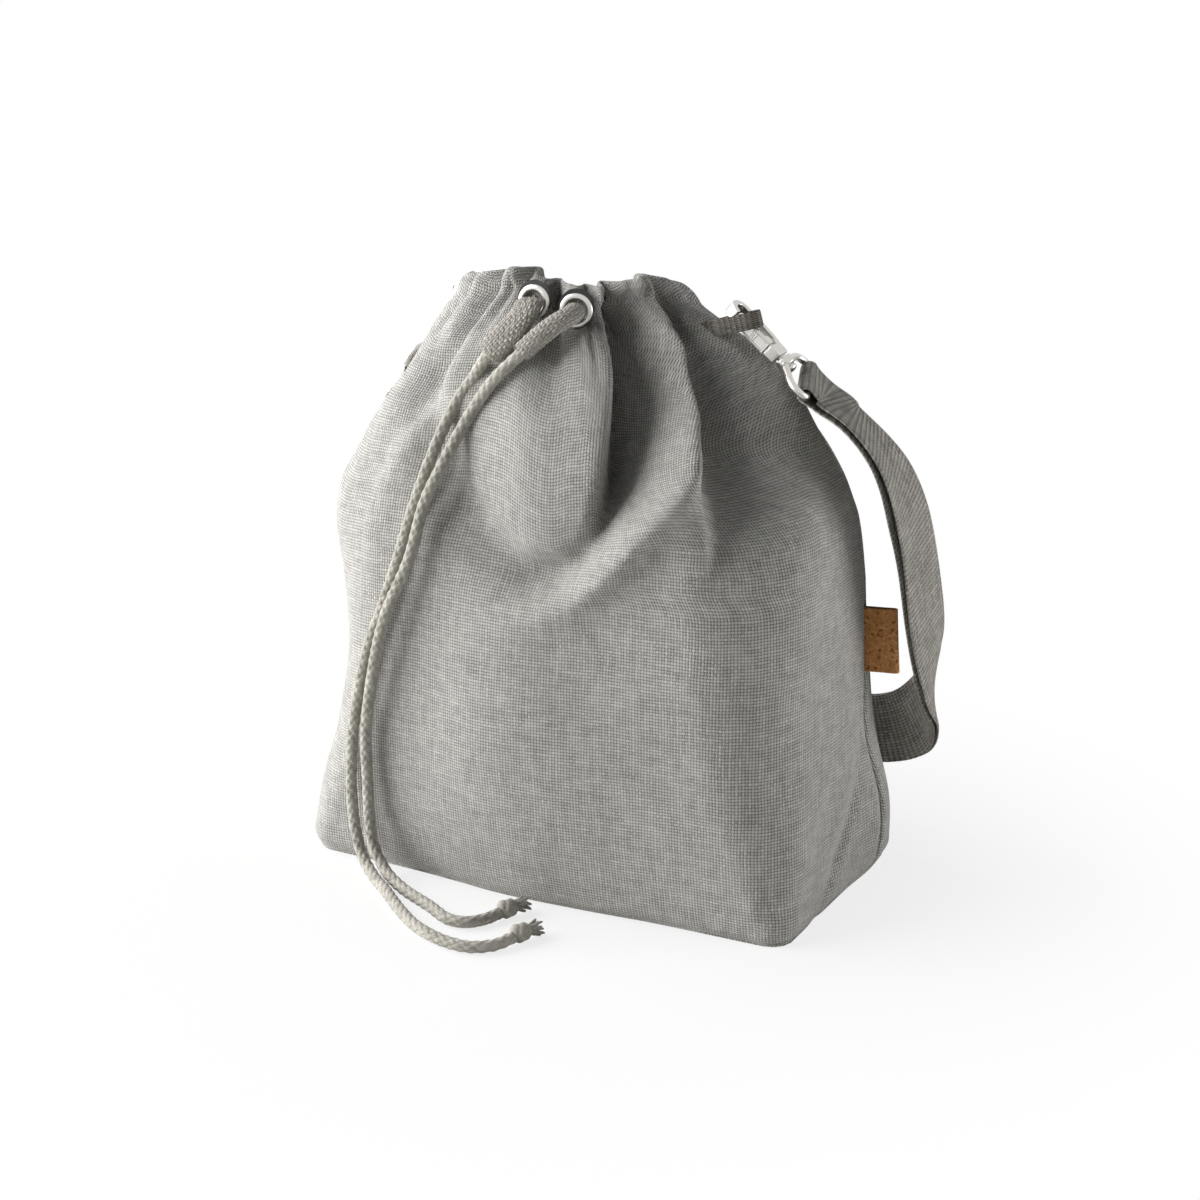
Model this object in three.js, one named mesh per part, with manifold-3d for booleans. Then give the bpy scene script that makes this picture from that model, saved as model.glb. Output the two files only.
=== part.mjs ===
// Insulated drawstring lunch bag with a clip-on webbing strap, standing closed on a floor.
// Millimetres, +Z up, origin on the floor under the middle of the base, front towards -Y.
import * as THREE from 'three';
import { mergeVertices } from 'three/addons/utils/BufferGeometryUtils.js';
import Module from 'manifold-3d';

const wasm = await Module();
wasm.setup();

const TAU = Math.PI * 2;
const { cos, sin, exp, hypot, sqrt, abs, min, max } = Math;
const rad = THREE.MathUtils.degToRad;
const V = (x, y, z) => new THREE.Vector3(x, y, z);

// Driving sizes, mm and degrees
const GAP = 0.35; // clearance between pieces that rest on each other
const CLOTH_TOP = 246; // length of cloth from the base seam to the rim
const DRAWN_TOP = 246; // the same length in the tables of heights below
const CLOTH = 1.0; // woven outer fabric
const LINING = 0.6; // lining fabric
const FOAM = 3.5; // closed-cell foam
const BASE_PLY = 1.2; // stiffened base fabric
const FOAM_TOP = 146; // cloth height where foam and liner end
const COLLAR_TOP = 228; // cloth height where the collar lining meets the channel
const SEAM = 0.5; // gap between the front and back panels
const NECK = { x: -11, y: -9, a: 46, b: 28 }; // ellipse of the drawn neck
const CREASE = { share: 0.34, least: 3, most: 9, width: 0.24 }; // depth per degree of pleat
const TWIST = { deg: 14, at: 0.78, width: 0.16 }; // the front cloth is drawn round to the right

const EYELET = { bore: 8.4, flange: 13.3, sheet: 1.0, barrel: 10, depth: 3.2 };
const BACKING = { outer: 14.1, sheet: 0.5, lift: 1.3 };
const CORD = 4.8; // round drawcord
const SLEEVE = { length: 27, wall: 0.8, flat: 10.2 };
const KNOT = { d: 8, length: 8, tuft: 7.5 };
const RUN = { a: 33, b: 12.7, d: 4.4 }; // draw tape inside the channel
const LABEL = { height: 26.5, reach: 13.5, ply: 0.7, tilt: 4 };

const WEB = { width: 30, ply: 1.5, parting: 0.4, fold: 25 };
const TAPE = { width: 6.5, ply: 1.1, pivotGap: 0.45 }; // half the gap where the tab swings
const BAR = 3.0; // wire of the swivel ring
const RING = { length: 11.5, half: 17.3 };
const HOOK = { length: 28, half: 5.2, stock: 2.4, ply: 4.6, gatePly: 1.7, gateWidth: 5.4 };
const PIN = { d: 1.4, back: 7.4, drop: 2.1 }; // back from the swivel end of the hook
const POST = { d: 3.0, head: 5.2, headLength: 2 };
const SLIDER = { half: 9.3, bar: 2.4, pitch: 8, x: 20 };

const group = new THREE.Group();
group.name = 'insulated_lunch_bag';

const finish = (color, roughness, metalness = 0) => ({ color, roughness, metalness });
const LINEN = finish(0x908e8a, 0.95);
const LINER = finish(0x55565a, 0.7);
const FOAM_FINISH = finish(0xe4e2dc, 0.9);
const BLACK = finish(0x121212, 0.6);
const NICKEL = finish(0xc4c3bf, 0.3, 1);
const CORD_FINISH = finish(0xa59f92, 0.95);
const WEBBING = finish(0x8c887f, 0.9);
const CORK = finish(0xa56d42, 0.85);

function add(name, geometry, look, matrix) {
  if (matrix) geometry.applyMatrix4(matrix);
  geometry.computeVertexNormals();
  const mesh = new THREE.Mesh(geometry, new THREE.MeshStandardMaterial(look));
  mesh.name = name;
  group.add(mesh);
  return mesh;
}

// A smooth curve through knots [at, value] that never leaves their range
function soft(knots) {
  const d = knots.slice(1).map((k, i) => (k[1] - knots[i][1]) / (k[0] - knots[i][0]));
  const slope = knots.map((k, i) => {
    if (i === 0) return d[0];
    if (i === knots.length - 1) return d[i - 1];
    return d[i - 1] * d[i] > 0 ? (2 * d[i - 1] * d[i]) / (d[i - 1] + d[i]) : 0;
  });
  return (value) => {
    const t = min(max(value, knots[0][0]), knots[knots.length - 1][0]);
    let i = 0;
    while (i < knots.length - 2 && t > knots[i + 1][0]) i += 1;
    const h = knots[i + 1][0] - knots[i][0];
    const f = (t - knots[i][0]) / h;
    return (1 + 2 * f) * (1 - f) ** 2 * knots[i][1] + f * (1 - f) ** 2 * h * slope[i]
      + f * f * (3 - 2 * f) * knots[i + 1][1] - f * f * (1 - f) * h * slope[i + 1];
  };
}

// The shape of the bag: half widths, half depth and corner radius by cloth height
const halfRight = soft([[0, 106.5], [8, 109.5], [30, 109], [60, 106.5], [90, 104], [120, 103],
  [150, 104], [170, 106], [250, 107]]);
const halfLeft = soft([[0, 108], [8, 112], [30, 110], [60, 103.5], [90, 101], [120, 104],
  [145, 110], [160, 111], [171, 108], [188, 105], [206, 101], [223, 97], [250, 96]]);
const halfDepth = soft([[0, 55], [8, 57.5], [40, 60], [90, 60], [140, 59], [170, 57], [250, 54]]);
const cornerRadius = soft([[0, 8], [8, 12], [40, 24], [90, 34], [140, 42], [170, 46], [250, 46]]);
const closing = soft([[125, 0], [150, 0.02], [165, 0.08], [180, 0.18], [195, 0.33], [210, 0.52],
  [222, 0.71], [232, 0.91], [238, 1], [250, 1]]);
// Height of the rim by angle round the neck
const rimHeight = soft([[0, 246], [20, 243], [60, 236], [90, 234], [130, 236], [165, 241],
  [190, 244], [215, 246], [245, 248.5], [262, 247], [285, 243], [312, 241], [330, 243],
  [345, 246], [360, 246]]);
// Angles round the neck where a pleat stands proud
const RIDGES = [12, 40, 70, 101, 131, 160, 187, 212, 242, 274, 306, 323, 343];
// Big folds: [cloth column from the middle of the front, height, outward reach, half width]
const FOLDS = [
  [[74, 244, -9, 5], [70, 230, -14, 8], [64, 214, -18, 12], [58, 196, -19, 15],
    [50, 178, -13, 14], [42, 163, -3, 11]],
  [[58, 240, 1, 8], [48, 222, 4, 10], [42, 205, 6, 10], [38, 190, 6, 10], [36, 175, 3, 10]],
  [[132, 236, 3, 7], [122, 220, 5, 11], [105, 202, 8, 15], [94, 186, 9, 17], [80, 173, 8, 17],
    [60, 160, 7, 15], [37, 146, 5, 14], [13, 130, 2, 12]],
  [[156, 236, -5, 7], [148, 222, -8, 11], [130, 206, -10, 15], [115, 190, -9, 17],
    [108, 172, -5, 18], [104, 156, -1, 18]],
  [[-40, 196, -1, 14], [-7, 184, -4, 16], [14, 172, -6, 17], [30, 160, -6, 15],
    [18, 146, -4, 15], [-2, 131, -1, 14]],
  [[-92, 242, -3, 6], [-75, 232, -5, 8], [-62, 220, -7, 12], [-58, 204, -6, 16],
    [-55, 190, -4, 18], [-52, 172, -1, 18]],
  [[-30, 236, 1, 14], [-18, 218, 4, 20], [-5, 200, 5, 24], [0, 186, 2, 22]],
];
const GIRTH = 660; // cloth round the body
const CROWN = 4; // how far the wide faces belly out

const raise = (z) => (z * CLOTH_TOP) / DRAWN_TOP; // carries a drawn height to the cloth's own
const wrap = (u) => u + 0.5 - Math.floor(u + 0.5) - 0.5;
const bell = (x) => exp(-x * x);

function rounded(u, b, r, a = 105) {
  const turn = u - Math.floor(u);
  const quarter = Math.floor(turn * 4) % 4;
  const along = turn * 4 - Math.floor(turn * 4);
  const side = b - r;
  const arc = (r * Math.PI) / 2;
  const s = (quarter % 2 ? 1 - along : along) * (side + arc + a - r);
  const angle = min(max((s - side) / r, 0), Math.PI / 2);
  const x = s < side ? a : s < side + arc ? a - r + r * cos(angle) : a - r - (s - side - arc);
  const y = s < side ? s : s < side + arc ? b - r + r * sin(angle) : b;
  return [(quarter === 1 || quarter === 2 ? -x : x) / a, quarter > 1 ? -y : y];
}

function neckAngle(u) {
  return TAU * u + rad(TWIST.deg) * bell(wrap(u - TWIST.at) / TWIST.width);
}

function columnAt(degrees) {
  let u = degrees / 360;
  for (let i = 0; i < 30; i += 1) u += (rad(degrees) - neckAngle(u)) / TAU / 1.5;
  return u;
}

function creaseDepth(phi, z) {
  const deg = ((phi / rad(1)) % 360 + 360) % 360;
  const last = RIDGES.length - 1;
  const ends = [RIDGES[last] - 360, ...RIDGES, RIDGES[0] + 360];
  let i = 0;
  while (deg > ends[i + 1]) i += 1;
  const span = ends[i + 1] - ends[i];
  const depth = min(max(span * CREASE.share, CREASE.least), CREASE.most);
  const start = 240 - 4.2 * span;
  const grown = min(max((z - start) / (240 - start), 0), 1) ** 1.5;
  return depth * grown * bell(((deg - ends[i]) / span - 0.5) / CREASE.width);
}

function foldReach(s, z, shrink) {
  let reach = 0;
  for (const fold of FOLDS) {
    let nearest = Infinity;
    let here = 0;
    for (let i = 0; i < fold.length - 1; i += 1) {
      const [s0, z0, a0, w0] = fold[i];
      const [s1, z1, a1, w1] = fold[i + 1];
      const [ex, ez, dx, dz] = [(s1 - s0) * shrink, z1 - z0, (s - s0) * shrink, z - z0];
      const f = min(max((dx * ex + dz * ez) / (ex * ex + ez * ez), 0), 1);
      const d = hypot(dx - f * ex, dz - f * ez) / (w0 + (w1 - w0) * f);
      if (d < nearest) [nearest, here] = [d, a0 + (a1 - a0) * f];
    }
    reach += here * bell(nearest);
  }
  return reach;
}

function neckPoint(phi) {
  const r = (NECK.a * NECK.b) / hypot(NECK.b * cos(phi), NECK.a * sin(phi));
  return [NECK.x + r * cos(phi), NECK.y + r * sin(phi)];
}

// Eyelets sit on the two flat pleats at the front
const EYELET_HEIGHT = [237, 234.5].map(raise);
const eyelets = [274, 306].map((degrees, i) => {
  const [x, y] = neckPoint(rad(degrees));
  return {
    at: V(x, y - 0.6, EYELET_HEIGHT[i]),
    out: [V(0.04, -0.995, 0.09), V(0.22, -0.97, 0.09)][i].normalize(),
  };
});
const EYELET_FLAT = [7.6, 10.5]; // flat cloth under the eyelet, then back to the pleat

// A point on the outside of the cloth: u round the bag, height up the cloth
function cloth(u, height) {
  const z = (height * DRAWN_TOP) / CLOTH_TOP;
  const [sx, sy] = rounded(u, halfDepth(z), cornerRadius(z));
  let x = sx * (sx > 0 ? halfRight(z) : halfLeft(z));
  const belly = CROWN * cos((min(abs(x) / 107, 1) * Math.PI) / 2) * min((z + 30) / 90, 1);
  let y = sy + Math.sign(sy) * belly * (abs(sy) / 57) ** 2;
  const phi = neckAngle(u);
  const [nx, ny] = neckPoint(phi);
  const g = closing(z);
  x += (nx - x) * g;
  y += (ny - y) * g;
  const roll = min(max((z - DRAWN_TOP + 6) / 6, 0), 1);
  const reach = foldReach(wrap(u - 0.75) * GIRTH, z, 1 - 0.58 * g) - creaseDepth(phi, z)
    - 3.5 * (1 - sqrt(1 - 0.999 * roll * roll));
  const from = hypot(x - NECK.x * g, y - NECK.y * g);
  x += ((x - NECK.x * g) / from) * reach;
  y += ((y - NECK.y * g) / from) * reach;
  const rim = rimHeight((((phi / rad(1)) % 360) + 360) % 360);
  const p = V(x, y, raise(z > 150 ? 150 + ((z - 150) * (rim - 150)) / (DRAWN_TOP - 150) : z));
  for (const { at, out } of eyelets) {
    const d = p.distanceTo(at);
    const f = min(max((EYELET_FLAT[1] - d) / (EYELET_FLAT[1] - EYELET_FLAT[0]), 0), 1);
    if (f > 0) p.addScaledVector(out, -p.clone().sub(at).dot(out) * f * f * (3 - 2 * f));
  }
  return p;
}

function clothNormal(u, z) {
  const across = cloth(u + 0.002, z).sub(cloth(u - 0.002, z));
  const along = cloth(u, min(z + 1.2, CLOTH_TOP)).sub(cloth(u, max(z - 1.2, 0)));
  return across.cross(along).normalize();
}

// Closes a stack of equal loops into a solid; loops pair their points i and n-1-i at each end.
// Both halves of a loop split their faces along the same diagonal, so plies nest.
function stack(loops, closed = false) {
  const n = loops[0].length;
  const points = loops.flat();
  const index = [];
  const quad = (a, b, c, d) => index.push(a, b, c, a, c, d);
  const rows = closed ? loops.length : loops.length - 1;
  for (let j = 0; j < rows; j += 1) {
    const k = (j + 1) % loops.length;
    for (let i = 0; i < n; i += 1) {
      const next = (i + 1) % n;
      if (i < n / 2) quad(j * n + i, j * n + next, k * n + next, k * n + i);
      else quad(j * n + next, k * n + next, k * n + i, j * n + i);
    }
  }
  if (!closed) {
    const top = (loops.length - 1) * n;
    for (let i = 0; i < n / 2 - 1; i += 1) {
      quad(i, n - 1 - i, n - 2 - i, i + 1);
      quad(top + i, top + i + 1, top + n - 2 - i, top + n - 1 - i);
    }
  }
  const geometry = new THREE.BufferGeometry();
  geometry.setAttribute('position', new THREE.Float32BufferAttribute(points.flatMap((p) => p.toArray()), 3));
  geometry.setIndex(index);
  return geometry;
}

function toManifold(geometry) {
  const bare = geometry.clone();
  bare.deleteAttribute('normal');
  bare.deleteAttribute('uv');
  const merged = mergeVertices(bare, 1e-4);
  return new wasm.Manifold(new wasm.Mesh({
    numProp: 3,
    vertProperties: new Float32Array(merged.attributes.position.array),
    triVerts: new Uint32Array(merged.index.array),
  }));
}

function fromManifold(solid) {
  const mesh = solid.getMesh();
  const geometry = new THREE.BufferGeometry();
  geometry.setAttribute('position', new THREE.BufferAttribute(new Float32Array(mesh.vertProperties), 3));
  geometry.setIndex(new THREE.BufferAttribute(new Uint32Array(mesh.triVerts), 1));
  return geometry;
}

const cut = (geometry, ...tools) => fromManifold(
  tools.reduce((body, tool) => body.subtract(toManifold(tool)), toManifold(geometry)),
);
const join = (geometry, ...others) => fromManifold(
  others.reduce((body, other) => body.add(toManifold(other)), toManifold(geometry)),
);

// A round bar from one point to another
function rod(from, to, d, sides = 16) {
  const geometry = new THREE.CylinderGeometry(d / 2, d / 2, from.distanceTo(to), sides);
  const turn = new THREE.Quaternion().setFromUnitVectors(V(0, 1, 0), to.clone().sub(from).normalize());
  geometry.applyQuaternion(turn);
  const mid = from.clone().add(to).multiplyScalar(0.5);
  return geometry.translate(mid.x, mid.y, mid.z);
}

function block(x0, x1, y0, y1, z0, z1) {
  const geometry = new THREE.BoxGeometry(x1 - x0, y1 - y0, z1 - z0);
  return geometry.translate((x0 + x1) / 2, (y0 + y1) / 2, (z0 + z1) / 2);
}

// Axes x, y, z at a point
function frameAt(x, y, z, at) {
  return new THREE.Matrix4().makeBasis(x, y, z).setPosition(at);
}

// The seam on the right leans back from the base towards the label
const seamLean = (z) => 0.022 + 0.031 * min(z / 100, 1);
const columnU = (u, z) => u + seamLean(z) * max(0, 1 - abs(wrap(u)) / 0.11);

const seams = [0, 0.5];
const pleatColumns = RIDGES.flatMap((ridge, i) => {
  const next = i < RIDGES.length - 1 ? RIDGES[i + 1] : RIDGES[0] + 360;
  return [0, 0.25, 0.5, 0.75].map((f) => wrap(columnAt(ridge + (next - ridge) * f) - 0.5) + 0.5);
}).filter((u) => seams.every((seam) => abs(wrap(u - seam)) > 0.008)).sort((a, b) => a - b);
const frontColumns = [0.5, ...pleatColumns.filter((u) => u > 0.5), 1];
const backColumns = [0, ...pleatColumns.filter((u) => u < 0.5), 0.5];

const BODY_ROWS = [20, 55, 90, 120, FOAM_TOP].map(raise);
const COLLAR_ROWS = [165, 180, 195, 210, 220, COLLAR_TOP].map(raise);
const WALL_FOOT = BASE_PLY + GAP;
const INNER_FOOT = 6.5;
const ROWS = [WALL_FOOT, INNER_FOOT, ...BODY_ROWS, ...COLLAR_ROWS, raise(234), raise(240), CLOTH_TOP];

// One ply of a panel between two depths under the outside of the cloth. Every ply takes its
// facing from the same neighbouring columns and rows, so one lies evenly inside the next.
function ply(columns, heights, outer, inner) {
  const last = columns.length - 1;
  const loops = heights.map((z) => {
    const below = Math.max(...ROWS.filter((row) => row < z - 0.01), heights[0] === z ? 0 : ROWS[0]);
    const above = Math.min(...ROWS.filter((row) => row > z + 0.01), CLOTH_TOP);
    const row = (depth) => columns.map((u, i) => {
      const edge = i === 0 ? 1 : i === last ? -1 : 0;
      const [before, after] = edge ? [u - 0.01, u + 0.01] : [columns[i - 1], columns[i + 1]];
      const tangent = cloth(columnU(after, z), z).sub(cloth(columnU(before, z), z)).normalize();
      const rise = cloth(columnU(u, above), above).sub(cloth(columnU(u, below), below));
      return cloth(columnU(u, z), z).addScaledVector(tangent.clone().cross(rise).normalize(), -depth)
        .addScaledVector(tangent, (edge * SEAM) / 2);
    });
    return [...row(outer), ...row(inner).reverse()];
  });
  return stack(loops);
}

const FOAM_IN = CLOTH + GAP;
const LINER_IN = FOAM_IN + FOAM + GAP;
const COLLAR_IN = CLOTH + 0.8;

const panels = [['front', frontColumns], ['back', backColumns]];
for (const [side, columns] of panels) {
  let panel = ply(columns, ROWS, 0, CLOTH);
  if (side === 'front') {
    const hole = ({ at, out }, from, d) => rod(
      at.clone().addScaledVector(out, from), at.clone().addScaledVector(out, 6), d,
    );
    panel = cut(panel, ...eyelets.flatMap((eyelet) => [
      hole(eyelet, -5, EYELET.barrel + 2 * GAP), hole(eyelet, 0, BACKING.outer + 2 * BACKING.lift),
    ]));
  }
  add(`outer_${side}_panel`, panel, LINEN);
  add(`foam_${side}`, ply(columns, [INNER_FOOT, ...BODY_ROWS], FOAM_IN, FOAM_IN + FOAM), FOAM_FINISH);
  add(`liner_${side}`, ply(columns, [INNER_FOOT, ...BODY_ROWS], LINER_IN, LINER_IN + LINING), LINER);
  add(`collar_lining_${side}`, ply(columns, COLLAR_ROWS, COLLAR_IN, COLLAR_IN + LINING), LINER);
}

// Flat plies of the base, drawn in from the foot of the cloth by an inset
const footColumns = [...frontColumns.slice(0, -1), ...backColumns.slice(0, -1)];
function basePly(inset, z, thickness) {
  const outline = footColumns.map((u) => {
    const at = columnU(u, WALL_FOOT);
    const p = cloth(at, WALL_FOOT).addScaledVector(clothNormal(at, WALL_FOOT).setZ(0).normalize(), -inset);
    return new THREE.Vector2(p.x, p.y);
  });
  const geometry = new THREE.ExtrudeGeometry(new THREE.Shape(outline), { depth: thickness, bevelEnabled: false });
  return geometry.translate(0, 0, z);
}
add('outer_base_panel', basePly(0.2, 0, BASE_PLY), LINEN);
add('foam_base', basePly(CLOTH + 0.6, WALL_FOOT, FOAM), FOAM_FINISH);
add('liner_base', basePly(CLOTH + 0.6, WALL_FOOT + FOAM + GAP, LINING), LINER);

// The inner wall of the drawstring channel, a smooth band inside the pleats
const HEM = { a: RUN.a - RUN.d / 2 - 0.9, b: RUN.b - RUN.d / 2 - 0.9, low: raise(229), high: raise(240) };
const hemLoops = Array.from({ length: 40 }, (_, i) => {
  const [c, s] = [cos((TAU * i) / 40), sin((TAU * i) / 40)];
  const at = (inset, z) => V(NECK.x + (HEM.a - inset) * c, NECK.y + (HEM.b - inset) * s, z - 3 * s);
  return [at(0, HEM.low), at(LINING, HEM.low), at(LINING, HEM.high), at(0, HEM.high)];
});
add('channel_inner_hem', stack(hemLoops, true), LINER);

// Eyelets and their dark backing washers
const side = ['left', 'right'];
eyelets.forEach(({ at, out }, i) => {
  const up = V(0, 0, 1).addScaledVector(out, -out.z).normalize();
  const place = frameAt(up.clone().cross(out), up, out.clone(), at);
  const disc = new THREE.Shape().absarc(0, BACKING.lift, BACKING.outer / 2, 0, TAU);
  disc.holes.push(new THREE.Path().absarc(0, 0, EYELET.barrel / 2 + GAP, 0, TAU, true));
  const backing = new THREE.ExtrudeGeometry(disc, { depth: BACKING.sheet, bevelEnabled: false, curveSegments: 14 });
  add(`eyelet_backing_${side[i]}`, backing.translate(0, 0, GAP), BLACK, place);
  const seat = GAP + BACKING.sheet + GAP;
  const [bore, wall, rim] = [EYELET.bore / 2, EYELET.barrel / 2, EYELET.flange / 2];
  const profile = [[bore, -EYELET.depth], [wall, -EYELET.depth], [wall, seat], [rim, seat],
    [rim - 0.2, seat + EYELET.sheet * 0.7], [rim - 1.2, seat + EYELET.sheet], [bore + 0.6, seat + EYELET.sheet],
    [bore, seat + 0.4], [bore, -EYELET.depth]].map(([x, y]) => new THREE.Vector2(x, y));
  add(`eyelet_${side[i]}`, new THREE.LatheGeometry(profile, 20).rotateX(Math.PI / 2), NICKEL, place);
});

// The flat draw tape round the neck, out through both eyelets
const ends = eyelets.map(({ at, out }) => at.clone().addScaledVector(out, 2.4));
const within = (past, shift) => eyelets.map(({ at, out }, i) => at.clone()
  .addScaledVector(out, -EYELET.depth - past).add(V(i * shift, 0, 0)));
const inside = within(4, -3.2);
const deep = within(9, -6);
const runPoints = [ends[1], inside[1], deep[1]];
for (let deg = 325; deg < 325 + 270; deg += 20) {
  runPoints.push(V(NECK.x + RUN.a * cos(rad(deg)), NECK.y + RUN.b * sin(rad(deg)), raise(235.5) - 3 * sin(rad(deg))));
}
runPoints.push(deep[0], inside[0], ends[0]);

function tube(path, d, sides, step) {
  const disc = new THREE.Shape(Array.from({ length: sides }, (_, i) => new THREE.Vector2(
    (d / 2) * cos((TAU * i) / sides), (d / 2) * sin((TAU * i) / sides),
  )));
  const steps = min(80, max(4, Math.round(path.getLength() / step)));
  return new THREE.ExtrudeGeometry(disc, { steps, extrudePath: path, bevelEnabled: false });
}
const curve = (points) => new THREE.CatmullRomCurve3(points, false, 'centripetal');
add('draw_tape_run', tube(curve(runPoints), RUN.d, 8, 8), CORD_FINISH);

// Hanging drawcord ends, as they settle over the front of the bag and on the floor
const TAILS = {
  left: [[-8.8, -43.4, 236.4], [-9.6, -45.8, 232.8], [-14.8, -49.2, 225.5], [-23.2, -49.7, 217.1], [-30.5, -47.5, 208],
    [-36, -49, 200], [-41, -53.5, 188], [-45, -58, 175], [-50.5, -62.5, 156], [-56, -65.5, 136], [-65, -66, 112],
    [-70.5, -66, 99], [-79.5, -65, 65], [-81.5, -65, 47], [-82, -65, 33], [-80.5, -65.5, 19],
    [-76, -68, 8.5], [-67, -74, 3.4], [-54, -84, 2.8], [-38, -97.5, 2.8], [-24, -107, 2.8],
    [-8, -112.5, 2.8], [3, -112, 2.8], [10, -106, 2.8], [13, -98.5, 3.2]],
  right: [[9.2, -41.4, 234], [5.4, -45.6, 231.4], [-1.2, -49.4, 225.6], [-9.5, -52.4, 217.4], [-18.1, -53.6, 208.8],
    [-27, -52.5, 198], [-33.5, -55.5, 186], [-37.8, -60, 175], [-43, -65, 161], [-48.5, -69, 138],
    [-60, -70.5, 112], [-69.5, -69, 76], [-72.5, -67.5, 58], [-72.5, -67, 40], [-72, -67.5, 25],
    [-69, -69, 13], [-62, -72, 5.5], [-51, -78, 2.9], [-31, -88, 2.8], [-17.5, -95, 2.8], [-10, -94, 2.8],
    [-5, -88, 2.8], [-2.5, -82, 3.2]],
};
side.forEach((name, i) => {
  const { at, out } = eyelets[i];
  const points = TAILS[name].map(([x, y, z]) => V(x, y, raise(z)));
  const path = curve([at.clone().addScaledVector(out, 3), ...points]);
  const length = path.getLength();
  const piece = (from, to) => curve(Array.from(
    { length: Math.ceil((to - from) / 3) + 1 },
    (_, k, n = Math.ceil((to - from) / 3)) => path.getPointAt((from + ((to - from) * k) / n) / length),
  ));
  add(`drawcord_tail_${name}`, tube(piece(17, length), CORD, 8, 10), CORD_FINISH);

  // Woven sleeve over the cord: a flat one on the left and a round one on the right
  const sleevePath = piece(0, SLEEVE.length);
  const bore = CORD / 2 + 0.5;
  const wide = name === 'left' ? SLEEVE.flat / 2 - bore - SLEEVE.wall : 0;
  const stations = Array.from({ length: 9 }, (_, f) => {
    const tangent = sleevePath.getTangentAt(f / 8);
    const across = V(1, 0, 0).addScaledVector(tangent, -tangent.x).normalize();
    return { at: sleevePath.getPointAt(f / 8), across, proud: across.clone().cross(tangent) };
  });
  const loops = Array.from({ length: 12 }, (_, k) => {
    const angle = (TAU * k) / 12;
    const line = (r) => stations.map(({ at: middle, across, proud }) => middle.clone()
      .addScaledVector(across, (r + wide) * cos(angle)).addScaledVector(proud, r * sin(angle)));
    return [...line(bore + SLEEVE.wall), ...line(bore).reverse()];
  });
  add(`cord_sleeve_${name}`, stack(loops, true), CORD_FINISH);

  // Overhand knot and frayed tuft at the end of the cord
  const end = path.getPointAt(1);
  const way = path.getTangentAt(1).setZ(0).normalize();
  const r = KNOT.d / 2;
  const knot = [[0, GAP], [CORD / 2, GAP + 0.4], [r, GAP + KNOT.length * 0.3], [r, GAP + KNOT.length * 0.65],
    [CORD / 2 - 0.1, GAP + KNOT.length], [r - 0.6, GAP + KNOT.length + KNOT.tuft - 1.5],
    [r - 1.6, GAP + KNOT.length + KNOT.tuft], [0, GAP + KNOT.length + KNOT.tuft]];
  const lathe = new THREE.LatheGeometry(knot.map(([x, y]) => new THREE.Vector2(x, y)), 12);
  const turn = new THREE.Quaternion().setFromUnitVectors(V(0, 1, 0), way);
  lathe.applyQuaternion(turn).translate(end.x, end.y, max(end.z, r + 0.1));
  add(`cord_knot_${name}`, lathe, CORD_FINISH);
});

// Cork label folded in two and sewn in the right seam
const labelShape = new THREE.Shape([[0, 0], [LABEL.reach, 0], [LABEL.reach, 1.9], [0, 1.9], [0, 1.9 - LABEL.ply],
  [LABEL.reach - LABEL.ply, 1.9 - LABEL.ply], [LABEL.reach - LABEL.ply, LABEL.ply], [0, LABEL.ply],
].map(([x, y]) => new THREE.Vector2(x, y)));
const label = new THREE.ExtrudeGeometry(labelShape, { depth: LABEL.height, bevelEnabled: false });
const labelFoot = cloth(0.053, raise(86.5));
label.rotateY(rad(-LABEL.tilt)).translate(labelFoot.x + 0.8, labelFoot.y - 1, labelFoot.z);
add('cork_label', label, CORK);

// Snap hook, tab tape and swivel ring, in a frame whose x runs outwards from the tab's root
const AXIS = V(0.745, 0, -0.667); // along the hook, from its nose to the swivel
const ACROSS = V(0, 1, 0); // from the gate to the back of the hook
const FLAT = AXIS.clone().cross(ACROSS); // through the hook's thickness
const NOSE = V(4.8, 2.9, 9.1);
const along = (s, y = 0, t = 0) => NOSE.clone().addScaledVector(AXIS, s)
  .addScaledVector(ACROSS, y).addScaledVector(FLAT, t);

const pinAt = HOOK.length - PIN.back;
const POST_HEAD = HOOK.length + 5.2;
const CROWN_AT = HOOK.length + 2.8; // where the ring turns on the post

function hookProfile(outline, thickness) {
  const geometry = new THREE.ExtrudeGeometry(outline, { depth: thickness, bevelEnabled: false, curveSegments: 10 });
  return geometry.translate(0, 0, -thickness / 2).applyMatrix4(frameAt(AXIS, ACROSS, FLAT, NOSE));
}

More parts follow.
